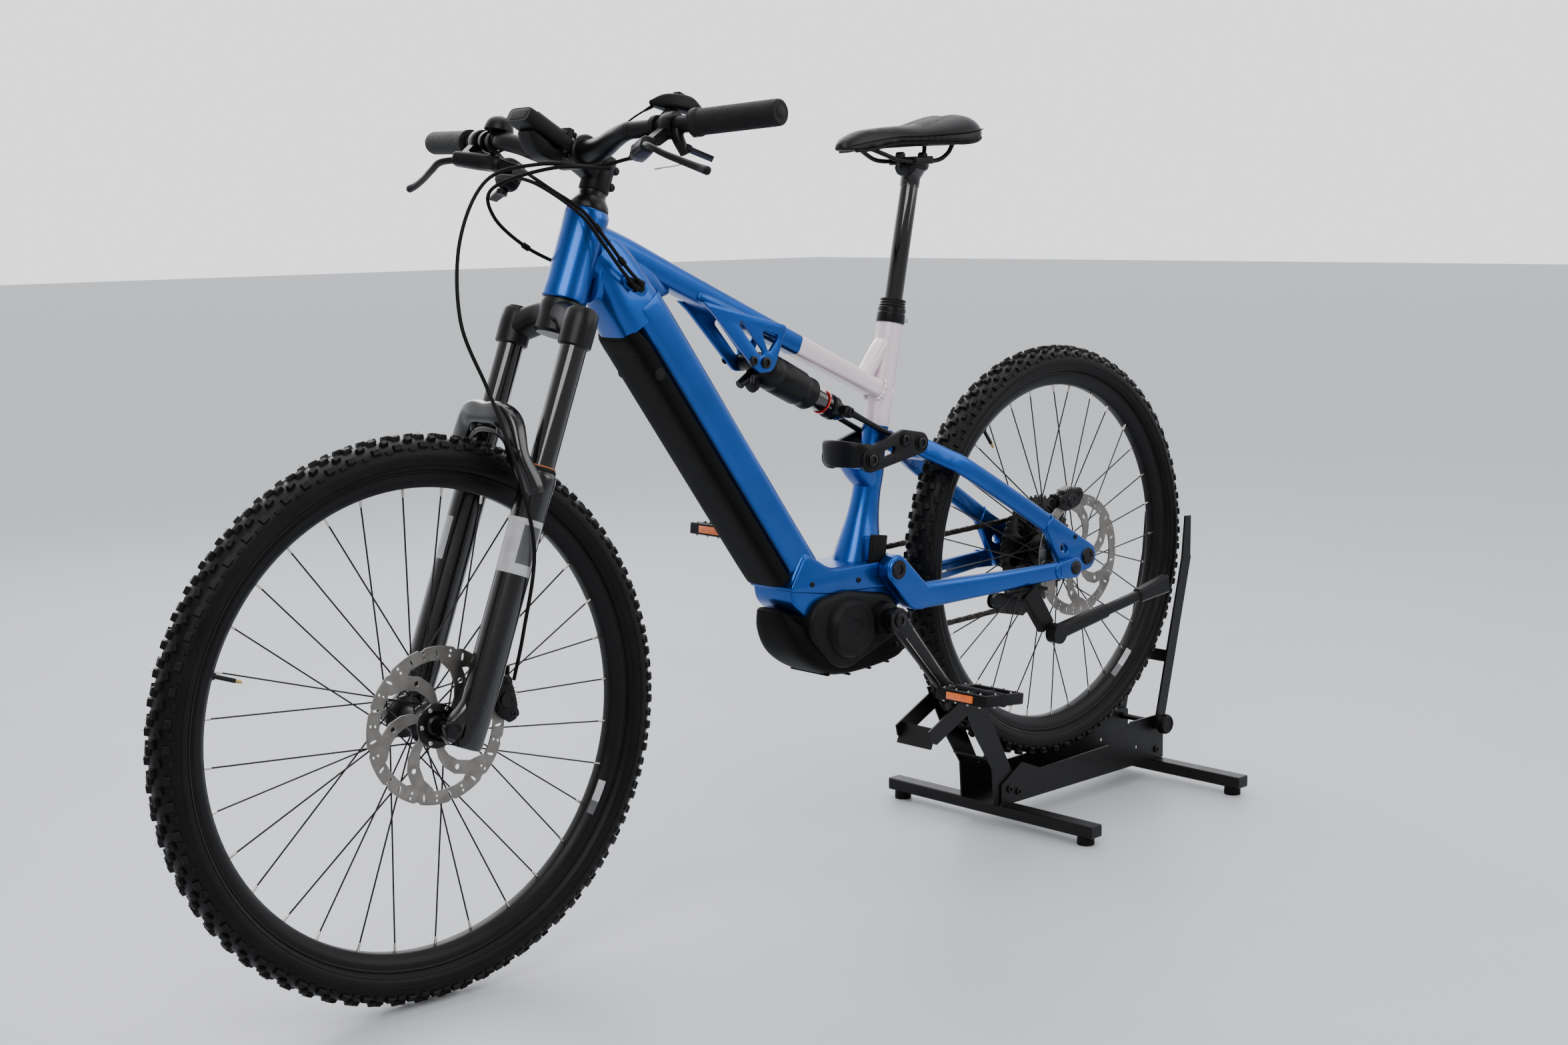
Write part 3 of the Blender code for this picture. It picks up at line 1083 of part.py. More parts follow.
build_wheel("rear_wheel", REAR_CENTRE, REAR_RIM_R, (-0.0340, 0.0230), (-0.0655, 0.0655),
            [(0.0110, 0.0655), (0.0120, 0.0640), (0.0120, 0.0290), (0.0290, 0.0265), (0.0290, 0.0195),
             (0.0190, 0.0160), (0.0170, -0.0270), (0.0290, -0.0305), (0.0290, -0.0375), (0.0220, -0.0480),
             (0.0170, -0.0570), (0.0170, -0.0620), (0.0110, -0.0620), (0.0110, -0.0655)], BIKE)
build_tyre("front_tyre", FRONT_CENTRE, FRONT_RIM_R, FRONT_TYRE_R, STEER)
build_tyre("rear_tyre", REAR_CENTRE, REAR_RIM_R, REAR_TYRE_R, BIKE)
build_rotor("front_rotor", (FRONT_AXLE[0], FRONT_ROTOR_Y, FRONT_AXLE[1]), STEER)
build_rotor("rear_rotor", (REAR_AXLE[0], REAR_ROTOR_Y, REAR_AXLE[1]), BIKE)
build_caliper("front_caliper", (0.0400, -0.0430, -0.5860), FRONT_ROTOR_Y, math.radians(58.0), STEER)
build_caliper("rear_caliper", (1.2460, -0.0520, 0.5300), REAR_ROTOR_Y, math.radians(-13.0), BIKE)
build_fork_upper()
build_fork_lowers()
build_stem()
build_handlebar()
build_grip("grip_left", -1)
build_grip("grip_right", 1)
build_brake("brake_left", -1)
build_brake("brake_right", 1)
build_brake_lever("brake_lever_left", -1)
build_brake_lever("brake_lever_right", 1)
build_shifter()
build_shift_paddle()
build_remote()
build_button()
build_dropper_lever()
build_bell()
build_display()
for cable in ROUTES:
    build_cable(cable)
build_post()
build_saddle()
build_stand_bar("stand_front_bar", FRONT_BAR_X)
build_stand_bar("stand_rear_bar", REAR_BAR_X)
build_stand_channel()
build_stand_cradle()
build_stand_arms()
build_stand_knob()
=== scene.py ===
"""Visual model of a full-suspension electric mountain bike held in a floor stand.

Side-view positions are (x, z) pairs in the bike's own directions, as in the CAD;
pieces that turn with the handlebar are laid out along the steering axis.
"""
import math
import random

import bmesh
import bpy
from mathutils import Euler, Matrix, Vector


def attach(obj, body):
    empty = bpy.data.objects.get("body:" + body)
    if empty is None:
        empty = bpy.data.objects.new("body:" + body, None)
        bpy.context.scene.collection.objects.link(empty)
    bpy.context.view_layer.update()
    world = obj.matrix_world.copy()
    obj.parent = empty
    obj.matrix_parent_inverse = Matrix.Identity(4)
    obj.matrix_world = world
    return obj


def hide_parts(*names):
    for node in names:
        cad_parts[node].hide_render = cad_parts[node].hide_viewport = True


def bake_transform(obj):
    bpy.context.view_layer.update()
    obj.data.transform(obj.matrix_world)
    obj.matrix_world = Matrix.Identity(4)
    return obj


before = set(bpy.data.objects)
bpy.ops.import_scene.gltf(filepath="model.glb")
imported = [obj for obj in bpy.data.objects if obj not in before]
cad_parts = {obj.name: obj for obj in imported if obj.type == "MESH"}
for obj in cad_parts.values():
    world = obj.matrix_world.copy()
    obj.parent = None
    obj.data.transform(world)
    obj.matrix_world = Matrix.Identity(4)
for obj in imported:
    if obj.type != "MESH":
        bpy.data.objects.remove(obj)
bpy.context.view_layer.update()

TAU = 2.0 * math.pi
random.seed(7)

# ---- layout shared with the CAD ----------------------------------------------
HEAD = Vector((0.273, 0.0, 0.949))
HEAD_ANGLE = math.radians(69.0)
STEER_TURN = math.radians(-2.7)
BIKE = Matrix.Translation((-0.6237, -0.0019, 0.0))
STEER = BIKE @ Matrix.Translation(HEAD) @ Euler((0.0, math.pi / 2 - HEAD_ANGLE, STEER_TURN),
                                                "ZYX").to_matrix().to_4x4()
BOTTOM_BRACKET = (0.8, 0.395)
MAIN_PIVOT = (0.824, 0.466)
HORST = (1.221, 0.422)
ROCKER = (0.792, 0.634)
STAY = (0.901, 0.651)
YOKE = (0.864, 0.659)
SHOCK = (0.59, 0.791)
REAR_AXLE = (1.269, 0.434)
FRONT_AXLE = (-0.0467, -0.6402)
STAND_KNOB = (1.522, 0.1)
SEAT_TOP = Vector((0.88, 0.0, 0.833))
SEAT_DIR = Vector((math.cos(math.radians(77.8)), 0.0, math.sin(math.radians(77.8))))
DOWN_CENTRE = Vector((0.4193, 0.0, 0.7907))
DOWN_DIR = Vector((0.589, 0.0, -0.808))
DOWN_UP = Vector((0.808, 0.0, 0.589))
HEAD_DIR = Vector((math.cos(HEAD_ANGLE), 0.0, math.sin(HEAD_ANGLE)))
LEG_X = -0.015
LEG_Y = 0.0715
ACROSS = (0.0, 1.0, 0.0)
UPWARD = (0, 0, 1)
FORE = (1.0, 0.0, 0.0)
FRONT_ROTOR_Y = -0.043
REAR_ROTOR_Y = -0.059
CHAIN_PITCH = 0.0127
RIM_DEPTH = 0.018
SPOKES = 32
TREAD_ROWS = 66
ROTOR_HALF = 0.0009
PAD_PUFF = 0.0026
SIM_FRAMES = 14
FLOOR_REACH = 30.0


def at(point, y=0.0):
    return Vector((point[0], y, point[1]))


def polar(x, z, radius, angle):
    return (x + radius * math.cos(angle), z + radius * math.sin(angle))


def down(along, up=0.0, y=0.0):
    return DOWN_CENTRE + DOWN_DIR * along + DOWN_UP * up + Vector((0.0, y, 0.0))


def seat(height, fore=0.0, y=0.0):
    return SEAT_TOP + SEAT_DIR * height + Vector((SEAT_DIR.z, 0.0, -SEAT_DIR.x)) * fore + Vector((0.0, y, 0.0))


# ---- looks -------------------------------------------------------------------
def look(name, colour, rough, metallic=0.0, coat=0.0, tone=0.15, patch=30.0, grain=900.0, relief=0.05, spread=0.06,
         pattern="noise", stretch=(1.0, 1.0, 1.0), speck=None, speck_at=0.62, depth=0.0006, shine=0.5):
    """Procedural finish: clouds drive the colour and gloss, a finer pattern drives the relief and specks."""
    made = bpy.data.materials.new(name)
    made.use_nodes = True
    nodes, links = made.node_tree.nodes, made.node_tree.links
    shader = nodes["Principled BSDF"]
    shader.inputs["Metallic"].default_value = metallic
    shader.inputs["Coat Weight"].default_value = coat
    shader.inputs["Coat Roughness"].default_value = 0.06
    shader.inputs["Specular IOR Level"].default_value = shine
    place = nodes.new("ShaderNodeTexCoord")
    mapping = nodes.new("ShaderNodeMapping")
    mapping.inputs["Scale"].default_value = stretch
    links.new(place.outputs["Object"], mapping.inputs["Vector"])
    clouds = nodes.new("ShaderNodeTexNoise")
    clouds.inputs["Scale"].default_value = patch
    clouds.inputs["Detail"].default_value = 5.0
    links.new(mapping.outputs["Vector"], clouds.inputs["Vector"])
    ramp = nodes.new("ShaderNodeValToRGB")
    for element, spot, change in zip(ramp.color_ramp.elements, (0.32, 0.68), (1.0 - tone, 1.0 + tone)):
        element.position = spot
        element.color = (*[min(1.0, channel * change) for channel in colour], 1.0)
    links.new(clouds.outputs["Fac"], ramp.inputs["Fac"])
    if pattern == "cells":
        fine = nodes.new("ShaderNodeTexVoronoi")
        height = fine.outputs["Distance"]
    elif pattern == "rings":
        fine = nodes.new("ShaderNodeTexWave")
        fine.inputs["Distortion"].default_value = 0.6
        height = fine.outputs["Fac"]
    else:
        fine = nodes.new("ShaderNodeTexNoise")
        fine.inputs["Detail"].default_value = 3.0
        height = fine.outputs["Fac"]
    fine.inputs["Scale"].default_value = grain
    links.new(mapping.outputs["Vector"], fine.inputs["Vector"])
    shade = ramp.outputs["Color"]
    if speck:
        mask = nodes.new("ShaderNodeMapRange")
        mask.inputs["From Min"].default_value = speck_at
        mask.inputs["From Max"].default_value = speck_at + 0.08
        links.new(height, mask.inputs["Value"])
        mix = nodes.new("ShaderNodeMixRGB")
        mix.inputs["Color2"].default_value = (*speck, 1.0)
        links.new(mask.outputs["Result"], mix.inputs["Fac"])
        links.new(shade, mix.inputs["Color1"])
        shade = mix.outputs["Color"]
    links.new(shade, shader.inputs["Base Color"])
    gloss = nodes.new("ShaderNodeMapRange")
    gloss.inputs["To Min"].default_value = max(0.02, rough - spread)
    gloss.inputs["To Max"].default_value = min(1.0, rough + spread)
    links.new(clouds.outputs["Fac"], gloss.inputs["Value"])
    links.new(gloss.outputs["Result"], shader.inputs["Roughness"])
    bump = nodes.new("ShaderNodeBump")
    bump.inputs["Strength"].default_value = relief
    bump.inputs["Distance"].default_value = depth
    links.new(height, bump.inputs["Height"])
    links.new(bump.outputs["Normal"], shader.inputs["Normal"])
    return made


NEAR_BLACK = (0.003, 0.003, 0.0034)
BLUE = look("blue_metallic_paint", (0.0, 0.06, 0.29), 0.31, 0.86, 0.3, 0.12, 9.0, 2600.0, 0.05, 0.03,
            speck=(0.0, 0.14, 0.56), speck_at=0.62)
PEARL = look("pearl_white_paint", (0.7, 0.585, 0.63), 0.3, 0.15, 0.6, 0.05, 12.0, 2600.0, 0.04, 0.03,
             speck=(0.86, 0.76, 0.82), speck_at=0.6)
GLOSS_BLACK = look("gloss_black_paint", (0.0016, 0.0016, 0.0019), 0.2, 0.0, 0.2, 0.3, 14.0, 420.0, 0.05, 0.05,
                   speck=(0.03, 0.03, 0.033), speck_at=0.64)
POWDER = look("satin_powder_coat", NEAR_BLACK, 0.38, 0.0, 0.06, 0.35, 26.0, 1400.0, 0.3, 0.1,
              speck=(0.022, 0.02, 0.018), speck_at=0.7, shine=0.18)
ANODISED = look("black_anodised", (0.0035, 0.0035, 0.004), 0.32, 0.12, 0.0, 0.3, 35.0, 2200.0, 0.1, 0.07, shine=0.24)
SATIN = look("satin_black_alloy", NEAR_BLACK, 0.4, 0.04, 0.0, 0.25, 25.0, 1800.0, 0.12, 0.07, shine=0.17)
STANCHION = look("polished_black_tube", (0.006, 0.0055, 0.0055), 0.09, 0.3, 0.7, 0.18, 10.0, 1500.0, 0.02, 0.03,
                 stretch=(1.0, 1.0, 0.15))
PLASTIC = look("moulded_black_plastic", NEAR_BLACK, 0.48, 0.0, 0.0, 0.22, 22.0, 1300.0, 0.28, 0.07, shine=0.14)
COVER_PLASTIC = look("matte_cover_plastic", (0.0022, 0.0022, 0.0024), 0.56, 0.0, 0.0, 0.16, 12.0, 1700.0, 0.35, 0.05,
                     shine=0.06)
RUBBER = look("soft_black_rubber", (0.003, 0.003, 0.003), 0.62, 0.0, 0.0, 0.25, 40.0, 1100.0, 0.25, 0.06, shine=0.12)
GRIP = look("grip_rubber", (0.006, 0.006, 0.006), 0.56, 0.0, 0.0, 0.25, 50.0, 1500.0, 0.5, 0.06, pattern="cells",
            shine=0.14)
TYRE = look("tyre_rubber", (0.0032, 0.0032, 0.0034), 0.5, 0.0, 0.0, 0.4, 38.0, 620.0, 0.35, 0.14,
            speck=(0.016, 0.015, 0.014), speck_at=0.64, shine=0.16)
SIDEWALL = look("tyre_sidewall", (0.0028, 0.0028, 0.003), 0.44, 0.0, 0.0, 0.35, 24.0, 900.0, 0.3, 0.1,
                speck=(0.011, 0.01, 0.01), speck_at=0.66, shine=0.13)
ROTOR = look("brushed_rotor_steel", (0.2, 0.19, 0.175), 0.32, 1.0, 0.0, 0.2, 60.0, 420.0, 0.25, 0.1, pattern="rings")
SILVER = look("bright_steel", (0.5, 0.49, 0.47), 0.26, 1.0, 0.0, 0.15, 70.0, 1500.0, 0.1, 0.08)
BRASS = look("brass_tip", (0.5, 0.34, 0.12), 0.34, 1.0, 0.0, 0.15, 90.0, 1500.0, 0.1, 0.08)
CHAIN = look("oiled_chain_steel", (0.04, 0.032, 0.026), 0.38, 0.85, 0.0, 0.45, 120.0, 1200.0, 0.2, 0.12,
             speck=(0.012, 0.009, 0.007), speck_at=0.58)
SPROCKET = look("dark_sprocket_steel", (0.03, 0.029, 0.028), 0.34, 0.85, 0.0, 0.35, 70.0, 1200.0, 0.12, 0.1)
LEATHER = look("saddle_leather", (0.003, 0.003, 0.0034), 0.36, 0.0, 0.0, 0.22, 26.0, 900.0, 0.3, 0.06,
               pattern="cells", shine=0.22)
PERFORATED = look("perforated_cover", (0.003, 0.003, 0.0033), 0.42, 0.0, 0.0, 0.16, 30.0, 330.0, 0.9, 0.06,
                  pattern="cells", speck=(0.001, 0.001, 0.001), speck_at=0.7, depth=0.0012, shine=0.16)
LABEL = look("pale_grey_label", (0.34, 0.34, 0.35), 0.42, 0.0, 0.3, 0.12, 60.0, 900.0, 0.06, 0.05)
DARK_LABEL = look("mid_grey_label", (0.05, 0.052, 0.058), 0.4, 0.0, 0.3, 0.2, 60.0, 900.0, 0.06, 0.05)
ORANGE = look("orange_reflector", (0.75, 0.13, 0.006), 0.22, 0.0, 0.6, 0.16, 90.0, 520.0, 0.6, 0.05, pattern="cells")
RED = look("red_ring_rubber", (0.55, 0.01, 0.008), 0.42, 0.0, 0.0, 0.16, 90.0, 900.0, 0.1, 0.05)
AMBER = look("wiper_ring", (0.3, 0.08, 0.015), 0.5, 0.0, 0.0, 0.2, 90.0, 900.0, 0.1, 0.05)
SMOKED = look("smoked_screen", (0.004, 0.0045, 0.006), 0.1, 0.0, 1.0, 0.15, 18.0, 500.0, 0.02, 0.03)


# ---- mesh making -------------------------------------------------------------
def smooth(knots, per_span=6):
    """Catmull-Rom through tuples of numbers."""
    knots = [Vector(knot) for knot in knots]
    if len(knots) < 3:
        return [knots[0].lerp(knots[1], step / per_span) for step in range(per_span + 1)]
    ends = [2 * knots[0] - knots[1]] + knots + [2 * knots[-1] - knots[-2]]
    path = []
    for index in range(1, len(ends) - 2):
        before, here, there, after = ends[index - 1:index + 3]
        for step in range(per_span):
            s = step / per_span
            path.append(0.5 * ((2 * here) + (there - before) * s + (2 * before - 5 * here + 4 * there - after) * s
                               * s + (3 * here - before - 3 * there + after) * s ** 3))
    path.append(knots[-1])
    return path


def oval(width, height, power=2.0, steps=40):
    """Superellipse section: power 2 is round, 5 is a square with rounded corners."""
    ring = []
    for step in range(steps):
        across, up = math.cos(TAU * step / steps), math.sin(TAU * step / steps)
        ring.append((math.copysign(abs(across) ** (2.0 / power), across) * width / 2,
                     math.copysign(abs(up) ** (2.0 / power), up) * height / 2))
    return ring


def mirrored(half):
    """Stations up to the middle plane, followed by their mirror images."""
    return half + [(x, -y, *rest) for x, y, *rest in reversed(half[:-1])]


def circle(x, z, radius, sides=48):
    return [polar(x, z, radius, TAU * step / sides) for step in range(sides)]


def cross(a, b, c):
    return (b[0] - a[0]) * (c[1] - a[1]) - (b[1] - a[1]) * (c[0] - a[0])


def hull(circles, sides=36):
    """Rubber band outline round (x, z, radius) circles."""
    spots = sorted(set(spot for x, z, radius in circles for spot in circle(x, z, radius, sides)))

    def half(points):
        chain = []
        for point in points:
            while len(chain) > 1 and cross(chain[-2], chain[-1], point) <= 1e-9:
                chain.pop()
            chain.append(point)
        return chain[:-1]

    return half(spots) + half(reversed(spots))


def rounded(corners, radius=0.008, steps=5):
    """Outline with each corner rounded off."""
    outline = []
    count = len(corners)
    for index in range(count):
        before, here, after = (Vector(corners[(index + k) % count]) for k in (-1, 0, 1))
        reach_in = min(radius, (before - here).length * 0.45)
        reach_out = min(radius, (after - here).length * 0.45)
        start = here + (before - here).normalized() * reach_in
        end = here + (after - here).normalized() * reach_out
        for step in range(steps + 1):
            s = step / steps
            point = start * (1 - s) ** 2 + here * 2 * s * (1 - s) + end * s * s
            outline.append((point.x, point.y))
    return outline


def gear(radius, teeth, depth, x=0.0, z=0.0):
    outline = []
    for tooth in range(teeth):
        for share, drop in ((0.0, 1.0), (0.22, 0.75), (0.38, 0.08), (0.62, 0.08), (0.78, 0.75)):
            outline.append(polar(x, z, radius - depth * drop, TAU * (tooth + share) / teeth))
    return outline


class Piece:
    """One visible piece while it is being built."""

    def __init__(self, name, body, space=BIKE):
        self.name, self.body, self.space = name, body, space
        self.work = bmesh.new()
        self.looks = []

    def paint(self, faces, finish):
        if finish not in self.looks:
            self.looks.append(finish)
        for face in faces:
            face.material_index = self.looks.index(finish)

    def skin(self, rings, finish, loop=False, caps=True):
        """Faces between neighbouring rings; a ring of one point closes to a tip."""
        verts = [[self.work.verts.new(point) for point in ring] for ring in rings]
        pairs = list(zip(verts, verts[1:]))
        if loop:
            pairs.append((verts[-1], verts[0]))
        faces = []
        for ring, other in pairs:
            count = max(len(ring), len(other))
            if count == 1:
                continue
            for index in range(count):
                after = (index + 1) % count
                if len(ring) == 1:
                    faces.append(self.work.faces.new((ring[0], other[index], other[after])))
                elif len(other) == 1:
                    faces.append(self.work.faces.new((ring[index], ring[after], other[0])))
                else:
                    faces.append(self.work.faces.new((ring[index], ring[after], other[after], other[index])))
        if caps and not loop:
            for ring in (verts[0], verts[-1]):
                if len(ring) > 2:
                    faces.append(self.work.faces.new(ring))
        self.paint(faces, finish)

    def loft(self, stations, finish, side=ACROSS, steps=40, per_span=6, dome=0.0):
        """Tube through (x, y, z, width along side, height, power) stations; dome rounds the ends."""
        path = smooth(stations, per_span)
        rings = []
        for index, station in enumerate(path):
            here = Vector(station[:3])
            ahead = Vector(path[min(index + 1, len(path) - 1)][:3]) - Vector(path[max(index - 1, 0)][:3])
            along = ahead.normalized()
            wide = (Vector(side) - along * along.dot(Vector(side))).normalized()
            high = wide.cross(along)
            ring = oval(station[3], station[4], station[5], steps)
            rings.append((here, along, [here + wide * a + high * b for a, b in ring]))
        solid = [ring for _, _, ring in rings]
        if dome:
            for tip, sign in ((rings[0], -1.0), (rings[-1], 1.0)):
                here, along, ring = tip
                extra = []
                for s in (0.5, 0.8, 0.95):
                    shrink = 1.0 - (1.0 - math.sqrt(1.0 - s * s)) * 0.55
                    extra.append([here + along * (sign * dome * s) + (point - here) * shrink for point in ring])
                solid = list(reversed(extra)) + solid if sign < 0.0 else solid + extra
        self.skin(solid, finish)

    def lathe(self, profile, centre, axis, finish, steps=56, closed=False, arc=(0.0, TAU)):
        """Turned solid from (radius, height) pairs; arc, counted from FORE, limits it to part of a turn."""
        centre, axis = Vector(centre), Vector(axis).normalized()
        spin = axis.to_track_quat("Z", "Y")
        if arc[1] - arc[0] < TAU - 1e-6:
            rings = []
            first = Vector(FORE)
            second = axis.cross(first)
            for step in range(steps + 1):
                angle = arc[0] + (arc[1] - arc[0]) * step / steps
                rings.append([centre + first * (r * math.cos(angle)) + second * (r * math.sin(angle)) + axis * h
                              for r, h in profile])
            self.skin(rings, finish)
            return
        rings = []
        for radius, height in profile:
            if radius < 1e-7:
                rings.append([centre + spin @ Vector((0.0, 0.0, height))])
            else:
                rings.append([centre + spin @ Vector((radius * math.cos(TAU * step / steps),
                                                      radius * math.sin(TAU * step / steps),
                                                      height)) for step in range(steps)])
        self.skin(rings, finish, loop=closed, caps=False)

    def rod(self, start, end, radius, finish, radius_end=None, chamfer=0.0006, steps=32):
        start, end = Vector(start), Vector(end)
        length = (end - start).length
        last = radius_end or radius
        self.lathe([(0.0, 0.0), (radius - chamfer, 0.0), (radius, chamfer), (last, length - chamfer),
                    (last - chamfer, length), (0.0, length)], start, end - start, finish, steps)

    def pin(self, point, y_from, y_to, radius, finish, chamfer=0.0008, steps=32):
        low, high = min(y_from, y_to), max(y_from, y_to)
        self.rod(at(point, low), at(point, high), radius, finish, chamfer=chamfer, steps=steps)

    def tube(self, points, radius, finish, sides=12, loop=False, squash=1.0):
        """Round bar along points; radius is a number or one per point."""
        points = [Vector(point) for point in points]
        count = len(points)
        radii = radius if isinstance(radius, (list, tuple)) else [radius] * count
        rings = []
        wide = None
        for index, here in enumerate(points):
            ahead = points[(index + 1) % count] if loop else points[min(index + 1, count - 1)]
            behind = points[index - 1] if loop or index else here
            along = (ahead - behind).normalized()
            if wide is None:
                wide = Vector(ACROSS) if abs(along.y) < 0.9 else Vector(UPWARD)
            wide = (wide - along * wide.dot(along)).normalized()
            high = along.cross(wide)
            rings.append([here + (wide * math.cos(TAU * step / sides) + high
                                  * (squash * math.sin(TAU * step / sides))) * radii[index] for step in range(sides)])
        self.skin(rings, finish, loop=loop)

    def box(self, size, centre, finish, turn=0.0, bevel=0.001, segments=2, frame_turn=None):
        block = bmesh.new()
        bmesh.ops.create_cube(block, size=1.0)
        bmesh.ops.scale(block, vec=size, verts=block.verts)
        if bevel:
            bmesh.ops.bevel(block, geom=block.edges[:], offset=bevel, segments=segments, profile=0.6, affect="EDGES")
        spin = frame_turn or Matrix.Rotation(turn, 4, "Y")
        bmesh.ops.transform(block, matrix=Matrix.Translation(centre) @ spin, verts=block.verts)
        self.absorb(block, finish)

    def absorb(self, block, finish):
        verts = {vert: self.work.verts.new(vert.co) for vert in block.verts}
        self.paint([self.work.faces.new([verts[vert] for vert in face.verts]) for face in block.faces], finish)
        block.free()

    def plate(self, outlines, y_from, y_to, finish, bevel=0.0008, spin=None, resolution=1):
        """Flat sheet in the side view, or turned by spin; later outlines are holes."""
        curve = bpy.data.curves.new("sheet", "CURVE")
        curve.dimensions = "2D"
        curve.fill_mode = "BOTH"
        curve.extrude = abs(y_to - y_from) / 2 - bevel
        curve.bevel_depth = bevel
        curve.bevel_resolution = resolution
        curve.offset = -bevel
        for outline in outlines:
            spline = curve.splines.new("POLY")
            spline.points.add(len(outline) - 1)
            for spot, (x, z) in zip(spline.points, outline):
                spot.co = (x, z, 0.0, 1.0)
            spline.use_cyclic_u = True
        maker = bpy.data.objects.new("sheet", curve)
        bpy.context.scene.collection.objects.link(maker)
        bpy.context.view_layer.update()
        mesh = bpy.data.meshes.new_from_object(maker.evaluated_get(bpy.context.evaluated_depsgraph_get()))
        bpy.data.objects.remove(maker, do_unlink=True)
        block = bmesh.new()
        block.from_mesh(mesh)
        bmesh.ops.remove_doubles(block, verts=block.verts, dist=0.00002)
        stand = Matrix.Translation((0.0, (y_from + y_to) / 2, 0.0)) @ Matrix.Rotation(math.pi / 2, 4, "X")
        bmesh.ops.transform(block, matrix=spin @ stand if spin else stand, verts=block.verts)
        self.absorb(block, finish)
        bpy.data.meshes.remove(mesh)
        bpy.data.curves.remove(curve)

    def bolt(self, centre, axis, radius, height, finish=None):
        """Socket head screw."""
        finish = finish or ANODISED
        self.lathe([(0.0, height * 0.35), (radius * 0.48, height * 0.35), (radius * 0.52, height),
                    (radius * 0.84, height), (radius, height * 0.72), (radius, -0.0006), (0.0, -0.0006)], centre,
                   axis, finish, steps=24)

    def bead(self, centre, along, width, height, power, finish, radius=0.0022, side=ACROSS, ripples=46):
        """Weld bead running round a tube section."""
        along = Vector(along).normalized()
        wide = (Vector(side) - along * along.dot(Vector(side))).normalized()
        high = wide.cross(along)
        count = ripples * 4
        ring = oval(width, height, power, count)
        points = [Vector(centre) + wide * a + high * b for a, b in ring]
        radii = [radius * (1.0 + 0.22 * math.sin(TAU * index / 4)) for index in range(count)]
        self.tube(points, radii, finish, sides=8, loop=True)

    def done(self, *stands_for, slot=None, sharp=38.0, riding=True):
        bmesh.ops.recalc_face_normals(self.work, faces=self.work.faces)
        bmesh.ops.transform(self.work, matrix=self.space, verts=self.work.verts)
        mesh = bpy.data.meshes.new(self.name)
        self.work.to_mesh(mesh)
        self.work.free()
        if len(mesh.polygons):
            mesh.polygons.foreach_set("use_smooth", [True] * len(mesh.polygons))
        mesh.set_sharp_from_angle(angle=math.radians(sharp))
        for finish in self.looks:
            mesh.materials.append(finish)
        made = bpy.data.objects.new(self.name, mesh)
        bpy.context.scene.collection.objects.link(made)
        if riding:
            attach(made, self.body)
        if stands_for:
            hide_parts(*stands_for)
        return made


# ---- camera, light and floor ---------------------------------------------------
LENS_MM = 48.899
SENSOR_MM = 36.0
CAMERA_POSE = Matrix(((0.71846156, 0.11022693, -0.68677726, -2.12708),
                      (-0.69545072, 0.09580936, -0.71215789, -2.23463), (-0.01269929, 0.98927781, 0.14549274, 1.0073),
                      (0.0, 0.0, 0.0, 1.0)))
LAMPS = (("key", (-2.4, -1.8, 3.0), (0.0, 0.0, 0.5), 2.2, 95.0), ("fill", (1.8, -3.0, 2.2), (0.3, 0.0, 0.4), 2.4,
                                                                  55.0), ("top", (0.2, 0.4, 3.6), (0.2, 0.0, 0.3),
                                                                          3.0, 70.0), ("rim", (1.0, 3.0, 2.4),
                                                                                       (0.2, 0.0, 0.5), 2.2, 55.0))
BRIGHT_SIDE = (0.69, 0.72, 0.0)


def build_camera():
    lens = bpy.data.cameras.new("view")
    lens.lens = LENS_MM
    lens.sensor_width = SENSOR_MM
    camera = bpy.data.objects.new("view", lens)
    camera.matrix_world = CAMERA_POSE
    bpy.context.scene.collection.objects.link(camera)
    bpy.context.scene.camera = camera


def build_lamps():
    for name, spot, aim, size, power in LAMPS:
        lamp = bpy.data.lights.new(name, "AREA")
        lamp.shape = "SQUARE"
        lamp.size = size
        lamp.energy = power
        holder = bpy.data.objects.new(name, lamp)
        holder.location = spot
        holder.rotation_euler = (Vector(aim) - Vector(spot)).to_track_quat("-Z", "Y").to_euler()
        bpy.context.scene.collection.objects.link(holder)


def build_world():
    """Soft pale surroundings, brighter behind the bike than on the camera's side."""
    world = bpy.data.worlds.new("studio")
    world.use_nodes = True
    sky = world.node_tree.nodes["Background"]
    sky.inputs["Color"].default_value = (0.93, 0.94, 0.97, 1.0)
    links = world.node_tree.links
    facing = world.node_tree.nodes.new("ShaderNodeVectorMath")
    facing.operation = "DOT_PRODUCT"
    facing.inputs[1].default_value = BRIGHT_SIDE
    place = world.node_tree.nodes.new("ShaderNodeTexCoord")
    links.new(place.outputs["Generated"], facing.inputs[0])
    ramp = world.node_tree.nodes.new("ShaderNodeMapRange")
    ramp.inputs["From Min"].default_value = -0.35
    ramp.inputs["From Max"].default_value = 0.65
    ramp.inputs["To Min"].default_value = 0.5
    ramp.inputs["To Max"].default_value = 1.9
    links.new(facing.outputs["Value"], ramp.inputs["Value"])
    links.new(ramp.outputs["Result"], sky.inputs["Strength"])
    bpy.context.scene.world = world


def build_floor():
    mesh = bpy.data.meshes.new("floor")
    mesh.from_pydata([(x * FLOOR_REACH, y * FLOOR_REACH, 0.0) for x, y in ((-1, -1), (1, -1), (1, 1), (-1, 1))], [],
                     [(0, 1, 2, 3)])
    floor = bpy.data.objects.new("floor", mesh)
    bpy.context.scene.collection.objects.link(floor)
    mesh.materials.append(look("pale_floor", (0.46, 0.47, 0.49), 0.45, tone=0.04, patch=1.2, grain=60.0, relief=0.03))


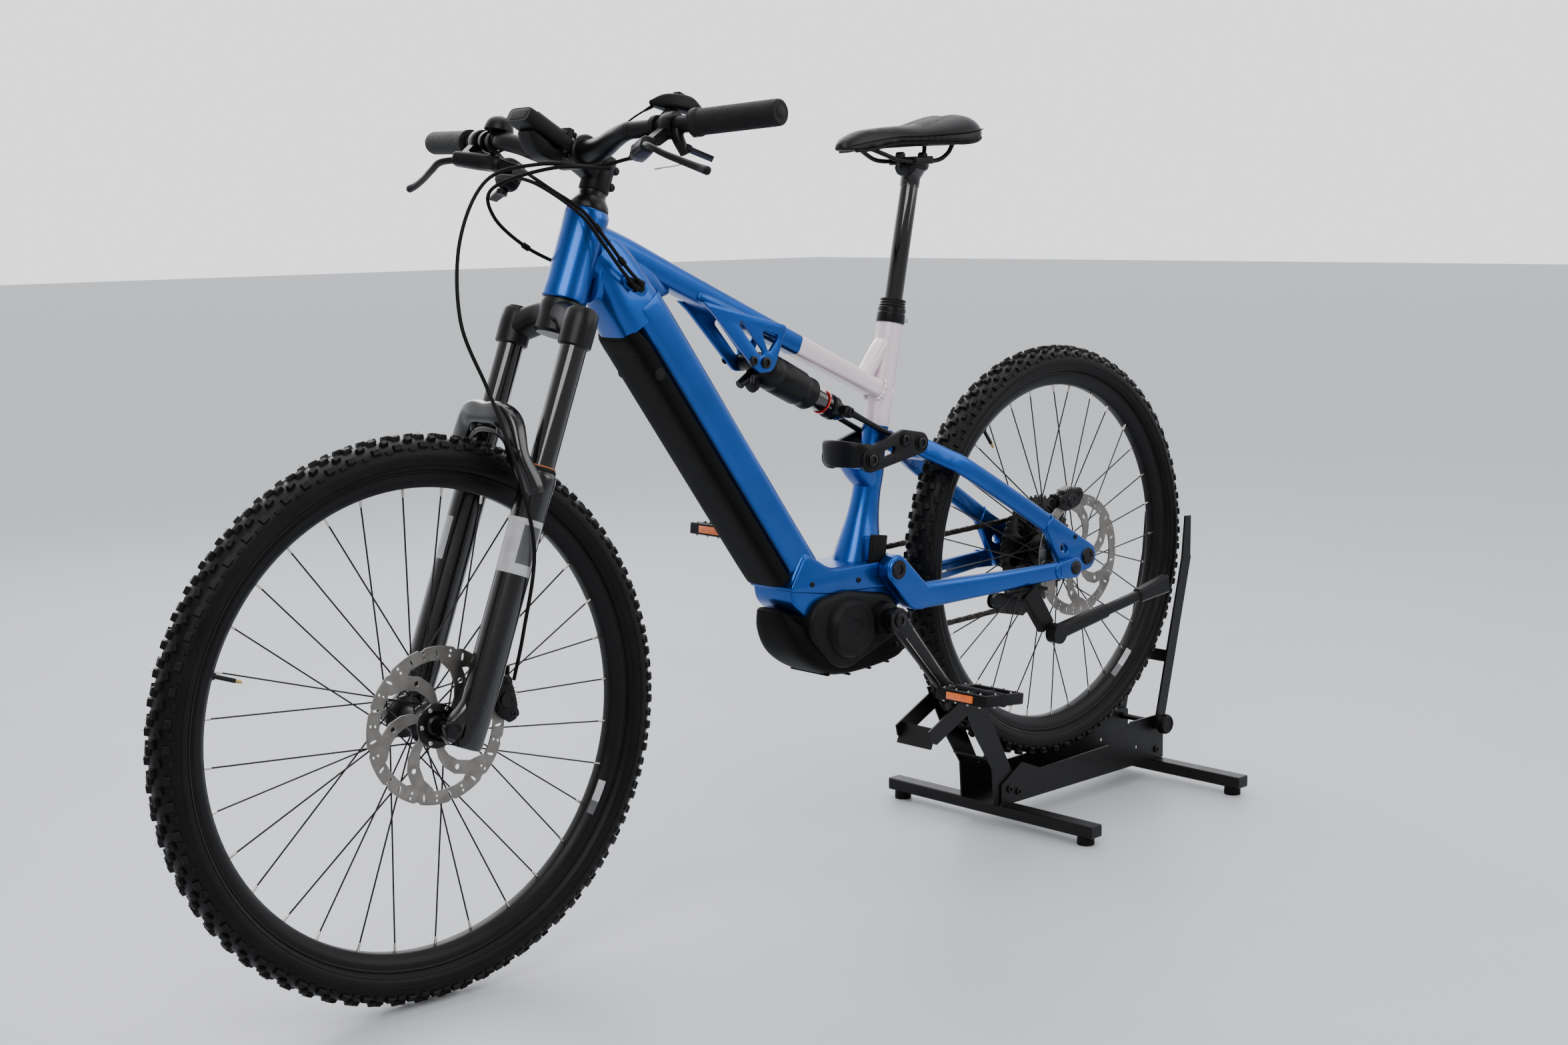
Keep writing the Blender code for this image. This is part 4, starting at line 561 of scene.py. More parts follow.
# ---- frame -------------------------------------------------------------------
def add_front_tubes(shape):
    """Head tube, down tube with its reinforced head, gusset and two-colour top tube."""
    turned = [(0.0216, -0.0625), (0.0288, -0.0625), (0.0304, -0.0605), (0.0304, -0.05), (0.0296, -0.042),
              (0.0294, 0.0), (0.0298, 0.044), (0.0302, 0.052), (0.0302, 0.0605), (0.0288, 0.0625), (0.0216, 0.0625)]
    shape.lathe(turned, HEAD, HEAD_DIR, BLUE, closed=True, steps=72)
    shape.loft([(*down(-0.204, 0.0035), 0.05, 0.063, 3.0), (*down(-0.178, 0.006), 0.06, 0.074, 3.2),
                (*down(-0.15, 0.0048), 0.068, 0.0795, 3.4), (*down(-0.12, 0.0018), 0.074, 0.0838, 3.8),
                (*down(-0.088, -0.0003), 0.0768, 0.0854, 4.2)], BLUE, steps=56)
    shape.loft([(*down(-0.128, 0.013), 0.064, 0.05, 3.6), (*down(-0.108, 0.0134), 0.073, 0.057, 4.0),
                (*down(-0.082, 0.0135), 0.0785, 0.059, 4.4), (*down(0.15, 0.0135), 0.0785, 0.059, 4.4),
                (*down(0.392, 0.0135), 0.08, 0.06, 4.2)], BLUE, steps=56)
    shape.loft([(0.296, 0.0, 0.932, 0.052, 0.092, 2.6), (0.338, 0.0, 0.924, 0.047, 0.08, 3.0),
                (0.378, 0.0, 0.911, 0.044, 0.058, 3.0), (0.404, 0.0, 0.902, 0.036, 0.036, 2.6),
                (0.424, 0.0, 0.898, 0.022, 0.014, 2.2)], BLUE, dome=0.004)
    tube = [(0.292, 0.0, 0.974, 0.048, 0.044, 3.0), (0.345, 0.0, 0.955, 0.044, 0.04, 3.4),
            (0.4, 0.0, 0.9315, 0.04, 0.037, 3.8), (0.5, 0.0, 0.8875, 0.037, 0.034, 4.0),
            (0.672, 0.0, 0.812, 0.0365, 0.031, 4.0)]
    shape.loft(tube, BLUE)
    shape.loft([tube[-1], (0.77, 0.0, 0.7688, 0.036, 0.029, 3.8), (0.868, 0.0, 0.7257, 0.036, 0.028, 3.4)], PEARL)


def add_seat_tube(shape):
    post = [(0.0, 0.038, 0.038), (-0.004, 0.0384, 0.0384), (-0.06, 0.0378, 0.0384), (-0.11, 0.0374, 0.0392),
            (-0.158, 0.0376, 0.0384)]
    lower = [(-0.158, 0.0376, 0.0384), (-0.19, 0.0372, 0.0372), (-0.225, 0.041, 0.043), (-0.262, 0.04, 0.043),
             (-0.3, 0.044, 0.052), (-0.34, 0.058, 0.068), (-0.372, 0.066, 0.08), (-0.392, 0.066, 0.086)]
    shape.loft([(*seat(s), w, d, 2.15) for s, w, d in post], PEARL, steps=48)
    shape.loft([(*seat(s), w, d, 2.3) for s, w, d in lower], BLUE, steps=48)
    shape.loft([(0.818, 0.0, 0.752, 0.026, 0.02, 2.6), (0.838, 0.0, 0.776, 0.027, 0.021, 2.8),
                (0.858, 0.0, 0.802, 0.027, 0.018, 2.4), (0.872, 0.0, 0.815, 0.022, 0.01, 2.2)], PEARL, dome=0.004)


def add_motor_shell(shape):
    """Cradle round the drive unit with the bosses of the rocker and the main pivot."""
    shell = rounded([(0.705, 0.48), (0.65, 0.513), (0.622, 0.47), (0.627, 0.435), (0.655, 0.411), (0.7, 0.396),
                     (0.805, 0.396), (0.856, 0.403), (0.844, 0.442), (0.842, 0.478), (0.8, 0.48)], 0.012)
    shape.plate([shell], -0.043, 0.043, BLUE, bevel=0.006, resolution=3)
    crease = rounded([(0.617, 0.456), (0.7, 0.442), (0.83, 0.438), (0.842, 0.452), (0.838, 0.476), (0.8, 0.478),
                      (0.705, 0.478), (0.652, 0.508)], 0.01)
    shape.plate([crease], -0.0452, 0.0452, BLUE, bevel=0.0024, resolution=2)
    shape.pin(ROCKER, -0.03, 0.03, 0.017, BLUE, 0.0016)
    shape.loft([(0.788, 0.0, 0.636, 0.05, 0.03, 2.6), (0.81, 0.0, 0.612, 0.046, 0.036, 2.8),
                (0.836, 0.0, 0.586, 0.036, 0.034, 2.6)], BLUE)
    shape.pin(MAIN_PIVOT, -0.0345, 0.0345, 0.0215, BLUE, 0.0016)
    shape.loft([(0.786, 0.0, 0.47, 0.068, 0.044, 3.2), (0.826, 0.0, 0.464, 0.06, 0.036, 3.0)], BLUE)
    shape.box((0.03, 0.017, 0.038), (0.805, -0.0318, 0.497), BLUE, turn=math.radians(8.0), bevel=0.004, segments=3)


def add_shock_mount(shape):
    window_front = hull([(0.545, 0.848, 0.0046), (0.582, 0.806, 0.0046)], 24)
    window_rear = hull([(0.59, 0.832, 0.0046), (0.611, 0.826, 0.0046), (0.598, 0.811, 0.0036)], 24)
    mount = rounded([(0.47, 0.884), (0.492, 0.866), (0.57, 0.784), (0.578, 0.777), (0.602, 0.777), (0.61, 0.786),
                     (0.634, 0.842)], 0.007)
    for side in (-1, 1):
        shape.plate([mount, window_front, window_rear], side * 0.029, side * 0.0222, BLUE, bevel=0.0016, resolution=2)
    shape.loft([(0.474, 0.0, 0.89, 0.044, 0.014, 3.0), (0.5, 0.0, 0.879, 0.052, 0.018, 3.4),
                (0.606, 0.0, 0.835, 0.052, 0.016, 3.4), (0.63, 0.0, 0.826, 0.044, 0.01, 3.0)], BLUE, dome=0.003)


def add_frame_fittings(shape):
    """Weld beads, cable ports, shock bolts and the ring at the main pivot."""
    shape.bead(seat(-0.158), SEAT_DIR, 0.0378, 0.0386, 2.15, BLUE, radius=0.0009, ripples=30)
    shape.bead(at((0.846, 0.7354)), (0.916, 0.0, -0.403), 0.039, 0.034, 3.0, PEARL, radius=0.003, ripples=20)
    for side in (-1, 1):
        port = Vector((0.0815, side * 0.0385, -0.0112))
        centre = BIKE.inverted() @ (STEER @ port)
        outline = hull([(centre.x - 0.01, centre.z + 0.006, 0.01), (centre.x + 0.012, centre.z - 0.006, 0.01)], 30)
        shape.plate([outline], side * 0.028, side * 0.0375, BLUE, bevel=0.0014, resolution=2)
        inner = hull([(centre.x - 0.008, centre.z + 0.004, 0.0066), (centre.x + 0.01, centre.z - 0.004, 0.0066)], 24)
        shape.plate([inner], side * 0.031, side * 0.0388, RUBBER, bevel=0.0012)
        shape.bolt((centre.x - 0.014, side * 0.0375, centre.z + 0.0085), (0, side, 0), 0.0024, 0.0014)
        shape.bolt(at(SHOCK, side * 0.029), (0, side, 0), 0.0086, 0.003)
        shape.bolt((0.566, side * 0.029, 0.795), (0, side, 0), 0.007, 0.0026)
    for spot in ((0.662, 0.462), (0.76, 0.456)):
        shape.bolt(at(spot, -0.0452), (0, -1, 0), 0.0042, 0.0016)
    shape.lathe([(0.023, 0.0), (0.023, 0.0022), (0.0214, 0.0032), (0.0214, 0.0)], at(MAIN_PIVOT, -0.0345), (0, -1, 0),
                BLUE, closed=True)


def build_frame():
    shape = Piece("frame_shape", "main_frame")
    add_front_tubes(shape)
    add_seat_tube(shape)
    add_motor_shell(shape)
    add_shock_mount(shape)
    add_frame_fittings(shape)
    shape.done("frame", slot="frame_paint")


def build_battery_cover():
    """Long flat cover with a lock on each side and a seam along its edges."""
    cover = Piece("battery_cover_shape", "main_frame")
    up = -0.0295
    cover.loft([(*down(-0.092, up - 0.004), 0.07, 0.018, 3.6), (*down(-0.084, up - 0.002), 0.077, 0.024, 4.2),
                (*down(-0.066, up - 0.0006), 0.0794, 0.0268, 4.6), (*down(-0.04, up), 0.0796, 0.0274, 4.6),
                (*down(0.15, up), 0.0796, 0.0276, 4.6), (*down(0.355, up), 0.0792, 0.0274, 4.6),
                (*down(0.369, up + 0.001), 0.076, 0.025, 4.2)], COVER_PLASTIC, steps=56, dome=0.003)
    for side in (-1, 1):
        cover.lathe([(0.0, 0.0012), (0.0058, 0.0012), (0.0066, 0.0004), (0.0084, 0.0004), (0.0092, -0.0008),
                     (0.0, -0.0008)], down(-0.02, up - 0.002, side * 0.0398), (0, side, 0), PLASTIC)
        edge = [down(along, up + 0.014, side * 0.0388) for along in (-0.05, 0.05, 0.15, 0.25, 0.366)]
        cover.tube(smooth(edge), 0.0008, PLASTIC, sides=8)
    cover.done("battery_cover", slot="plastic")


def build_motor():
    middle = (0.731, 0.388)
    rounds = [(0.728, 0.386, 0.058), (0.8, 0.392, 0.04), (0.69, 0.4, 0.04)]
    motor = Piece("motor_shape", "main_frame")
    motor.plate([hull(rounds, 48)], -0.0555, 0.0555, PLASTIC, bevel=0.007, resolution=3)
    for side, reach in ((-1, 0.013), (1, 0.005)):
        motor.lathe([(0.0, reach - 0.003), (0.015, reach - 0.003), (0.017, reach - 0.001), (0.034, reach - 0.001),
                     (0.0352, reach), (0.0395, reach), (0.041, reach - 0.0012), (0.0455, 0.001), (0.047, -0.004),
                     (0.0, -0.004)], at(middle, side * 0.055), (0, side, 0), PLASTIC, steps=80)
        for step in range(7):
            spot = polar(*middle, 0.0372, TAU * (step + 0.3) / 7)
            motor.bolt(at(spot, side * (0.055 + reach - 0.0002)), (0, side, 0), 0.0024, 0.0012)
        motor.lathe([(0.015, reach + 0.002), (0.024, reach + 0.001), (0.0258, -0.002), (0.015, -0.002)],
                    at(BOTTOM_BRACKET, side * 0.055), (0, side, 0), SATIN, closed=True)
    motor.done("motor", slot="plastic")


def build_skid_plate():
    """Belly guard with cross ribs and side bolts."""
    guard = Piece("skid_plate_shape", "main_frame")
    guard.loft([(0.62, 0.0, 0.4225, 0.056, 0.012, 3.0), (0.634, 0.0, 0.399, 0.08, 0.03, 3.6),
                (0.655, 0.0, 0.38, 0.093, 0.054, 4.4), (0.68, 0.0, 0.3665, 0.099, 0.069, 5.0),
                (0.71, 0.0, 0.3573, 0.101, 0.0795, 5.0), (0.745, 0.0, 0.352, 0.101, 0.077, 5.0),
                (0.8, 0.0, 0.35, 0.101, 0.0675, 5.0), (0.848, 0.0, 0.3475, 0.099, 0.049, 4.6),
                (0.868, 0.0, 0.341, 0.09, 0.018, 3.6)], COVER_PLASTIC, steps=72, dome=0.003)
    for x, low in ((0.7, 0.319), (0.745, 0.3134), (0.79, 0.3156), (0.83, 0.3194)):
        guard.box((0.005, 0.08, 0.003), (x, 0.0, low), COVER_PLASTIC, bevel=0.001)
    for side in (-1, 1):
        for spot in ((0.684, 0.372), (0.836, 0.347)):
            guard.bolt(at(spot, side * 0.0505), (0, side, 0), 0.004, 0.0014)
    guard.done("skid_plate", slot="plastic")


def build_charge_cover():
    door = Piece("charge_cover_shape", "main_frame")
    door.box((0.036, 0.0036, 0.044), (0.805, -0.0422, 0.497), RUBBER, turn=math.radians(8.0), bevel=0.0017,
             segments=3)
    door.box((0.027, 0.0012, 0.035), (0.805, -0.0441, 0.497), RUBBER, turn=math.radians(8.0), bevel=0.0005)
    door.done("charge_port_cover", slot="rubber")


def build_seat_collar():
    collar = Piece("seat_collar_shape", "main_frame")
    collar.lathe([(0.0158, 0.0004), (0.0212, 0.0004), (0.0216, 0.0015), (0.0216, 0.015), (0.0206, 0.0162),
                  (0.0206, 0.0174), (0.0214, 0.0184), (0.0214, 0.0232), (0.0206, 0.024), (0.0158, 0.024)], SEAT_TOP,
                 SEAT_DIR, ANODISED, closed=True)
    ear = seat(0.0085, 0.025)
    collar.loft([(*seat(0.0085, 0.017), 0.019, 0.014, 3.6), (*ear, 0.015, 0.0125, 3.4)], ANODISED, dome=0.002)
    collar.rod(ear + Vector((-0.001, -0.011, 0)), ear + Vector((-0.001, 0.011, 0)), 0.0036, SILVER)
    for height, radius in ((0.0268, 0.0196), (0.0312, 0.0188), (0.0354, 0.0192)):
        collar.lathe([(0.0158, -0.0016), (radius, -0.0016), (radius + 0.0008, 0.0), (radius, 0.0016),
                      (0.0158, 0.0016)], seat(height), SEAT_DIR, SATIN, closed=True)
    collar.done("seat_collar", slot="black_metal")


# ---- rear suspension -----------------------------------------------------------
def build_chainstay():
    """Two unequal arms, a bridge behind the pivot, and the rear joints."""
    stay = Piece("chainstay_shape", "chainstay")
    for side, y, half in ((-1, -0.056, 0.0112), (1, 0.0436, 0.0083)):
        stay.plate([hull([(*MAIN_PIVOT, 0.0225), (0.866, 0.422, 0.023), (0.878, 0.418, 0.021)])], y - half, y + half,
                   BLUE, bevel=0.0032, resolution=2)
        stay.loft([(0.862, y, 0.4178, 2 * half - 0.0006, 0.044, 3.4),
                   (0.93, y - (half * 0.2) * (-side), 0.417, 2 * half, 0.04, 3.4),
                   (1.06, y + (side * 0.0868 - y) * 0.58, 0.4185, 0.016, 0.033, 3.2),
                   (1.192, side * 0.0868, 0.4215, 0.012, 0.028, 3.2)], BLUE)
        stay.plate([hull([(*HORST, 0.0168), (1.185, 0.421, 0.014)])], side * 0.0804, side * 0.0935, BLUE, bevel=0.002,
                   resolution=2)
        stay.bead(at((1.184, 0.4215), side * 0.0866), (1.0, side * 0.08, 0.0), 0.014, 0.029, 3.0, BLUE, 0.0012,
                  ripples=16)
        stay.lathe([(0.0, 0.003), (0.0075, 0.003), (0.0085, 0.0022), (0.0105, 0.0022), (0.0115, 0.001),
                    (0.0118, -0.001), (0.0, -0.001)], at(HORST, side * 0.0935), (0, side, 0), ANODISED)
        stay.bolt(at(HORST, side * 0.0955), (0, side, 0), 0.0056, 0.0014)
        stay.lathe([(0.015, 0.0), (0.015, 0.0014), (0.0185, 0.0014), (0.0195, 0.0)], at(MAIN_PIVOT, y + side * half),
                   (0, side, 0), BLUE, closed=True)
    stay.box((0.028, 0.106, 0.036), (0.888, -0.006, 0.417), BLUE, bevel=0.006, segments=3)
    stay.done("chainstay", slot="frame_paint")


def build_main_pivot():
    axle = Piece("main_pivot_bolt", "chainstay")
    axle.pin(MAIN_PIVOT, -0.069, 0.054, 0.0074, ANODISED)
    for side, y, radius in ((-1, -0.0676, 0.015), (1, 0.0523, 0.013)):
        axle.lathe([(0.0, 0.0012), (radius * 0.42, 0.0012), (radius * 0.46, 0.0034), (radius * 0.8, 0.0034),
                    (radius * 0.84, 0.0024), (radius * 0.97, 0.0022), (radius, 0.0008), (radius, 0.0), (0.0, 0.0)],
                   at(MAIN_PIVOT, y), (0, side, 0), ANODISED)
    axle.done("main_pivot_axle", slot="black_metal")


def build_seatstay():
    upper = Piece("seatstay_shape", "seatstay")
    for side in (-1, 1):
        knots = [(STAY[0], side * 0.0278, STAY[1]), (0.922, side * 0.0278, 0.641), (0.957, side * 0.043, 0.623),
                 (0.992, side * 0.0545, 0.605), (1.09, side * 0.064, 0.548), (1.192, side * 0.0725, 0.487)]
        sizes = ((0.0135, 0.03), (0.014, 0.031), (0.014, 0.03), (0.014, 0.03), (0.0142, 0.03), (0.0134, 0.031))
        upper.loft([(*knot, *size, 3.2) for knot, size in zip(knots, sizes)], BLUE)
        upper.plate([hull([(1.18, 0.492, 0.015), (*REAR_AXLE, 0.0225), (*HORST, 0.0162)]),
                     hull([(1.205, 0.456, 0.006), (1.213, 0.451, 0.005)], 16)], side * 0.066, side * 0.0797, BLUE,
                    bevel=0.0022, resolution=2)
        upper.pin(STAY, side * 0.021, side * 0.0348, 0.0152, BLUE, 0.0014)
        upper.bead(at((1.172, 0.499), side * 0.0712), (0.85, side * 0.09, -0.52), 0.015, 0.031, 3.2, BLUE, 0.0013,
                   ripples=16)
        upper.lathe([(0.0, 0.0024), (0.007, 0.0024), (0.008, 0.004), (0.013, 0.0036), (0.0145, 0.0), (0.0, 0.0)],
                    at(REAR_AXLE, side * 0.0797), (0, side, 0), ANODISED)
        upper.bolt((1.236, side * 0.0797, 0.47), (0, side, 0), 0.004, 0.0016)
    upper.box((0.02, 0.076, 0.026), (0.94, 0.0, 0.632), BLUE, turn=math.radians(27.0), bevel=0.005, segments=3)
    upper.done("seatstay", slot="frame_paint")


def build_rocker():
    """Two side plates with windows and caps, joined by a curved bridge."""
    rocker = Piece("rocker_shape", "rocker")
    for side in (-1, 1):
        outline = hull([(*ROCKER, 0.019), (*YOKE, 0.0152), (*STAY, 0.0167)])
        window = hull([(0.822, 0.64, 0.005), (0.838, 0.645, 0.006)], 20)
        rocker.plate([outline, window], side * 0.0352, side * 0.045, SATIN, bevel=0.0022, resolution=2)
        rocker.loft([(0.8, side * 0.04, 0.639, 0.0094, 0.034, 3.2), (0.79, side * 0.0398, 0.64, 0.0098, 0.036, 3.2),
                     (0.78, side * 0.038, 0.641, 0.01, 0.036, 3.0)], SATIN, dome=0.003)
        for spot, radius in ((ROCKER, 0.0118), (YOKE, 0.0098), (STAY, 0.0112)):
            rocker.lathe([(radius * 1.18, -0.001), (radius * 1.18, 0.0012), (radius * 1.05, 0.002), (radius, 0.0008),
                          (0.0, 0.0008)], at(spot, side * 0.045), (0, side, 0), SATIN)
            rocker.bolt(at(spot, side * 0.0456), (0, side, 0), radius * 0.82, 0.003)
    rocker.loft(mirrored([(0.784, -0.0385, 0.641, 0.011, 0.034, 3.0), (0.77, -0.031, 0.642, 0.011, 0.038, 3.2),
                          (0.7625, -0.016, 0.643, 0.01, 0.04, 3.4), (0.7605, 0.0, 0.643, 0.0095, 0.041, 3.4)]), SATIN,
                side=FORE, dome=0.003)
    rocker.done("rocker", slot="black_metal")


SHOCK_DIR = (at(YOKE) - at(SHOCK)).normalized()


def shock(along, up=0.0, y=0.0):
    return at(SHOCK) + SHOCK_DIR * along + Vector((-SHOCK_DIR.z, 0.0, SHOCK_DIR.x)) * up + Vector((0.0, y, 0.0))


def build_shock_body():
    """Air can with its valve, dial and lever."""
    can = Piece("shock_can_shape", "shock_body")
    can.lathe([(0.017, 0.1275), (0.021, 0.1275), (0.0226, 0.1265), (0.0232, 0.125), (0.0244, 0.1235), (0.0244, 0.115),
               (0.0236, 0.1135), (0.0248, 0.1), (0.0262, 0.0985), (0.0266, 0.07), (0.0266, 0.05), (0.0258, 0.0488),
               (0.0258, 0.046), (0.0266, 0.0448), (0.0266, 0.029), (0.024, 0.023), (0.0205, 0.0195), (0.019, 0.008),
               (0.015, 0.005), (0.0, 0.005)], at(SHOCK), SHOCK_DIR, SATIN, steps=64)
    can.pin(SHOCK, -0.0215, 0.0215, 0.0122, SATIN)
    can.rod(shock(0.01, -0.01), shock(-0.01, -0.04), 0.0068, ANODISED, chamfer=0.0012)
    can.plate([gear(0.011, 16, 0.0012)], -0.005, 0.005, PLASTIC,
              spin=Matrix.Translation(shock(0.014, -0.03)) @ Matrix.Rotation(math.radians(65.0), 4,
                                                                             "Y") @ Matrix.Rotation(math.pi / 2, 4,
                                                                                                    "X"))
    can.loft([(*shock(0.004, -0.018, -0.016), 0.006, 0.006, 2.4), (*shock(-0.012, -0.026, -0.026), 0.005, 0.005, 2.4),
              (*shock(-0.016, -0.036, -0.032), 0.006, 0.004, 2.4)], ANODISED, dome=0.002)
    can.done("shock_body", slot="black_metal")


def build_shock_shaft():
    """Polished shaft with a travel ring, and the yoke to the rocker."""
    shaft = Piece("shock_shaft_shape", "shock_shaft")
    shaft.lathe([(0.0, 0.09), (0.0166, 0.09), (0.0166, 0.175), (0.0158, 0.1765), (0.0158, 0.19), (0.014, 0.196),
                 (0.0105, 0.201), (0.0, 0.202)], at(SHOCK), SHOCK_DIR, STANCHION, steps=56)
    shaft.tube([shock(0.156) + Matrix.Rotation(TAU * step / 40, 3,
                                               SHOCK_DIR) @ Vector((0.0, 0.0174, 0.0)) for step in range(40)], 0.001,
               RED, sides=8, loop=True)
    shaft.lathe([(0.016, 0.169), (0.0186, 0.17), (0.019, 0.18), (0.0176, 0.184), (0.016, 0.184)], at(SHOCK),
                SHOCK_DIR, ANODISED, closed=True)
    shaft.box((0.017, 0.056, 0.016), shock(0.192), SATIN, turn=math.radians(25.7), bevel=0.0036, segments=3)
    for side in (-1, 1):
        shaft.loft([(*shock(0.188, 0.0, side * 0.025), 0.0085, 0.012, 2.8),
                    (*shock(0.23, 0.0, side * 0.0265), 0.008, 0.0086, 2.6),
                    (*shock(0.296, 0.0, side * 0.0285), 0.008, 0.009, 2.6)], SATIN, dome=0.003)
        shaft.pin(YOKE, side * 0.0238, side * 0.0346, 0.0096, SATIN)
        shaft.bolt(shock(0.192, 0.0, side * 0.028), (0, side, 0), 0.0062, 0.003)
    shaft.done("shock_shaft", slot="black_metal")


# ---- drivetrain -----------------------------------------------------------------
CRANK_LENGTH = 0.165
CRANK_ANGLE = math.radians(-48.8)
PEDAL_TILT = math.radians(6.0)


def crank_end(sign):
    return polar(*BOTTOM_BRACKET, sign * CRANK_LENGTH, CRANK_ANGLE)


def build_crank(name, side, sign):
    tip = crank_end(sign)
    arm = Piece(name + "_shape", "crank")
    reach = at(tip) - at(BOTTOM_BRACKET)
    arm.loft([(*at(BOTTOM_BRACKET, side * 0.0855), 0.0136, 0.037, 3.0),
              (*(at(BOTTOM_BRACKET, side * 0.086) + reach * 0.25), 0.014, 0.031, 3.2),
              (*(at(BOTTOM_BRACKET, side * 0.087) + reach * 0.75), 0.013, 0.0265, 3.2),
              (*at(tip, side * 0.088), 0.0125, 0.025, 2.8)], ANODISED, dome=0.004)
    arm.pin(BOTTOM_BRACKET, side * 0.079, side * 0.093, 0.019, ANODISED, 0.002)
    arm.pin(tip, side * 0.0814, side * 0.0946, 0.013, ANODISED, 0.0016)
    arm.pin(BOTTOM_BRACKET, side * 0.05, side * 0.085, 0.0138, ANODISED)
    arm.bolt(at(BOTTOM_BRACKET, side * 0.0928), (0, side, 0), 0.011, 0.003)
    arm.bolt(at(tip, side * 0.0944), (0, side, 0), 0.006, 0.0012, SILVER)
    # Painted highlight: thin bright steel lines along both edges of the arm's outer face stand in for the light
    # caught by those edges.
    for edge in (-0.0105, 0.0105):
        across = Vector((-reach.z, 0.0, reach.x)).normalized() * edge
        line = [at(BOTTOM_BRACKET, side * 0.093) + reach * share + across * (1.0 - 0.28 * share) for share in (0.18,
                                                                                                               0.35,
                                                                                                               0.55,
                                                                                                               0.75,
                                                                                                               0.88)]
        arm.tube(smooth(line), 0.0006, SILVER, sides=6)
    arm.done(name, slot="black_metal")


def build_pedal(name, side, sign):
    tip = at(crank_end(sign))
    pedal = Piece(name + "_shape", name)
    spin = Matrix.Translation((tip.x, side * 0.156, tip.z)) @ Matrix.Rotation(PEDAL_TILT, 4, "Y")

    def put(size, centre, finish=PLASTIC, bevel=0.0018):
        pedal.box(size, spin @ Vector(centre), finish, frame_turn=spin.to_3x3().to_4x4(), bevel=bevel)

    def stud(x, y, face):
        pedal.rod(spin @ Vector((x, y, face * 0.0085)), spin @ Vector((x, y, face * 0.0112)), 0.0017, SILVER,
                  steps=10, chamfer=0.0004)

    for fore in (-1, 1):
        put((0.01, 0.096, 0.0175), (fore * 0.0415, 0.0, 0.0))
        put((0.004, 0.052, 0.011), (fore * 0.0464, 0.0, 0.0), ORANGE, 0.001)
        put((0.088, 0.009, 0.017), (0.0, fore * 0.045, 0.0))
        put((0.038, 0.006, 0.014), (fore * 0.023, 0.0, 0.0))
        for row in range(4):
            for face in (-1, 1):
                stud(fore * 0.0415, -0.036 + 0.024 * row, face)
        for face in (-1, 1):
            for row in (-1, 1):
                stud(fore * 0.018, row * 0.045, face)
    pivot = crank_end(sign)
    pedal.pin(pivot, side * 0.1075, side * 0.206, 0.0106, PLASTIC, 0.0012)
    pedal.pin(pivot, side * 0.085, side * 0.11, 0.0044, SILVER)
    pedal.pin(pivot, side * 0.101, side * 0.1085, 0.0086, ANODISED)
    pedal.done(name, slot="plastic")


def build_chainring():
    ring = Piece("chainring_shape", "crank")
    windows = []
    for step in range(5):
        windows.append(circle(*polar(*BOTTOM_BRACKET, 0.043, TAU * (step + 0.5) / 5), 0.0125, 24))
    ring.plate([gear(0.0735, 36, 0.0048, *BOTTOM_BRACKET), circle(*BOTTOM_BRACKET, 0.019)] + windows, 0.0624, 0.0656,
               SPROCKET, bevel=0.0005)
    ring.plate([circle(*BOTTOM_BRACKET, 0.03), circle(*BOTTOM_BRACKET, 0.018)], 0.06, 0.068, ANODISED, bevel=0.001)
    ring.done("chainring", slot="steel")


def build_cassette():
    """Eleven toothed rings on a splined body."""
    stack = Piece("cassette_shape", "cassette")
    count = 11
    for index in range(count):
        share = index / (count - 1)
        radius = 0.093 * (1.0 - share) ** 1.15 + 0.024 * (1.0 - (1.0 - share) ** 1.15)
        y = 0.031 + 0.032 * share
        outline = gear(radius, max(10, round(TAU * radius / CHAIN_PITCH)), 0.005, *REAR_AXLE)
        holes = [circle(*REAR_AXLE, 0.012, 24)]
        if radius > 0.045:
            middle = (radius - 0.007 + 0.022) / 2
            for step in range(6):
                spot = polar(*REAR_AXLE, middle, TAU * (step + index * 0.12) / 6)
                holes.append(circle(*spot, (radius - 0.007 - 0.022) * 0.36, 20))
        stack.plate([outline] + holes, y - 0.0009, y + 0.0009, SPROCKET, bevel=0.0003)
    stack.lathe([(0.012, 0.0315), (0.0205, 0.0315), (0.0205, 0.063), (0.018, 0.064), (0.012, 0.064)], at(REAR_AXLE),
                ACROSS, SPROCKET, closed=True)
    stack.done("cassette", slot="steel")


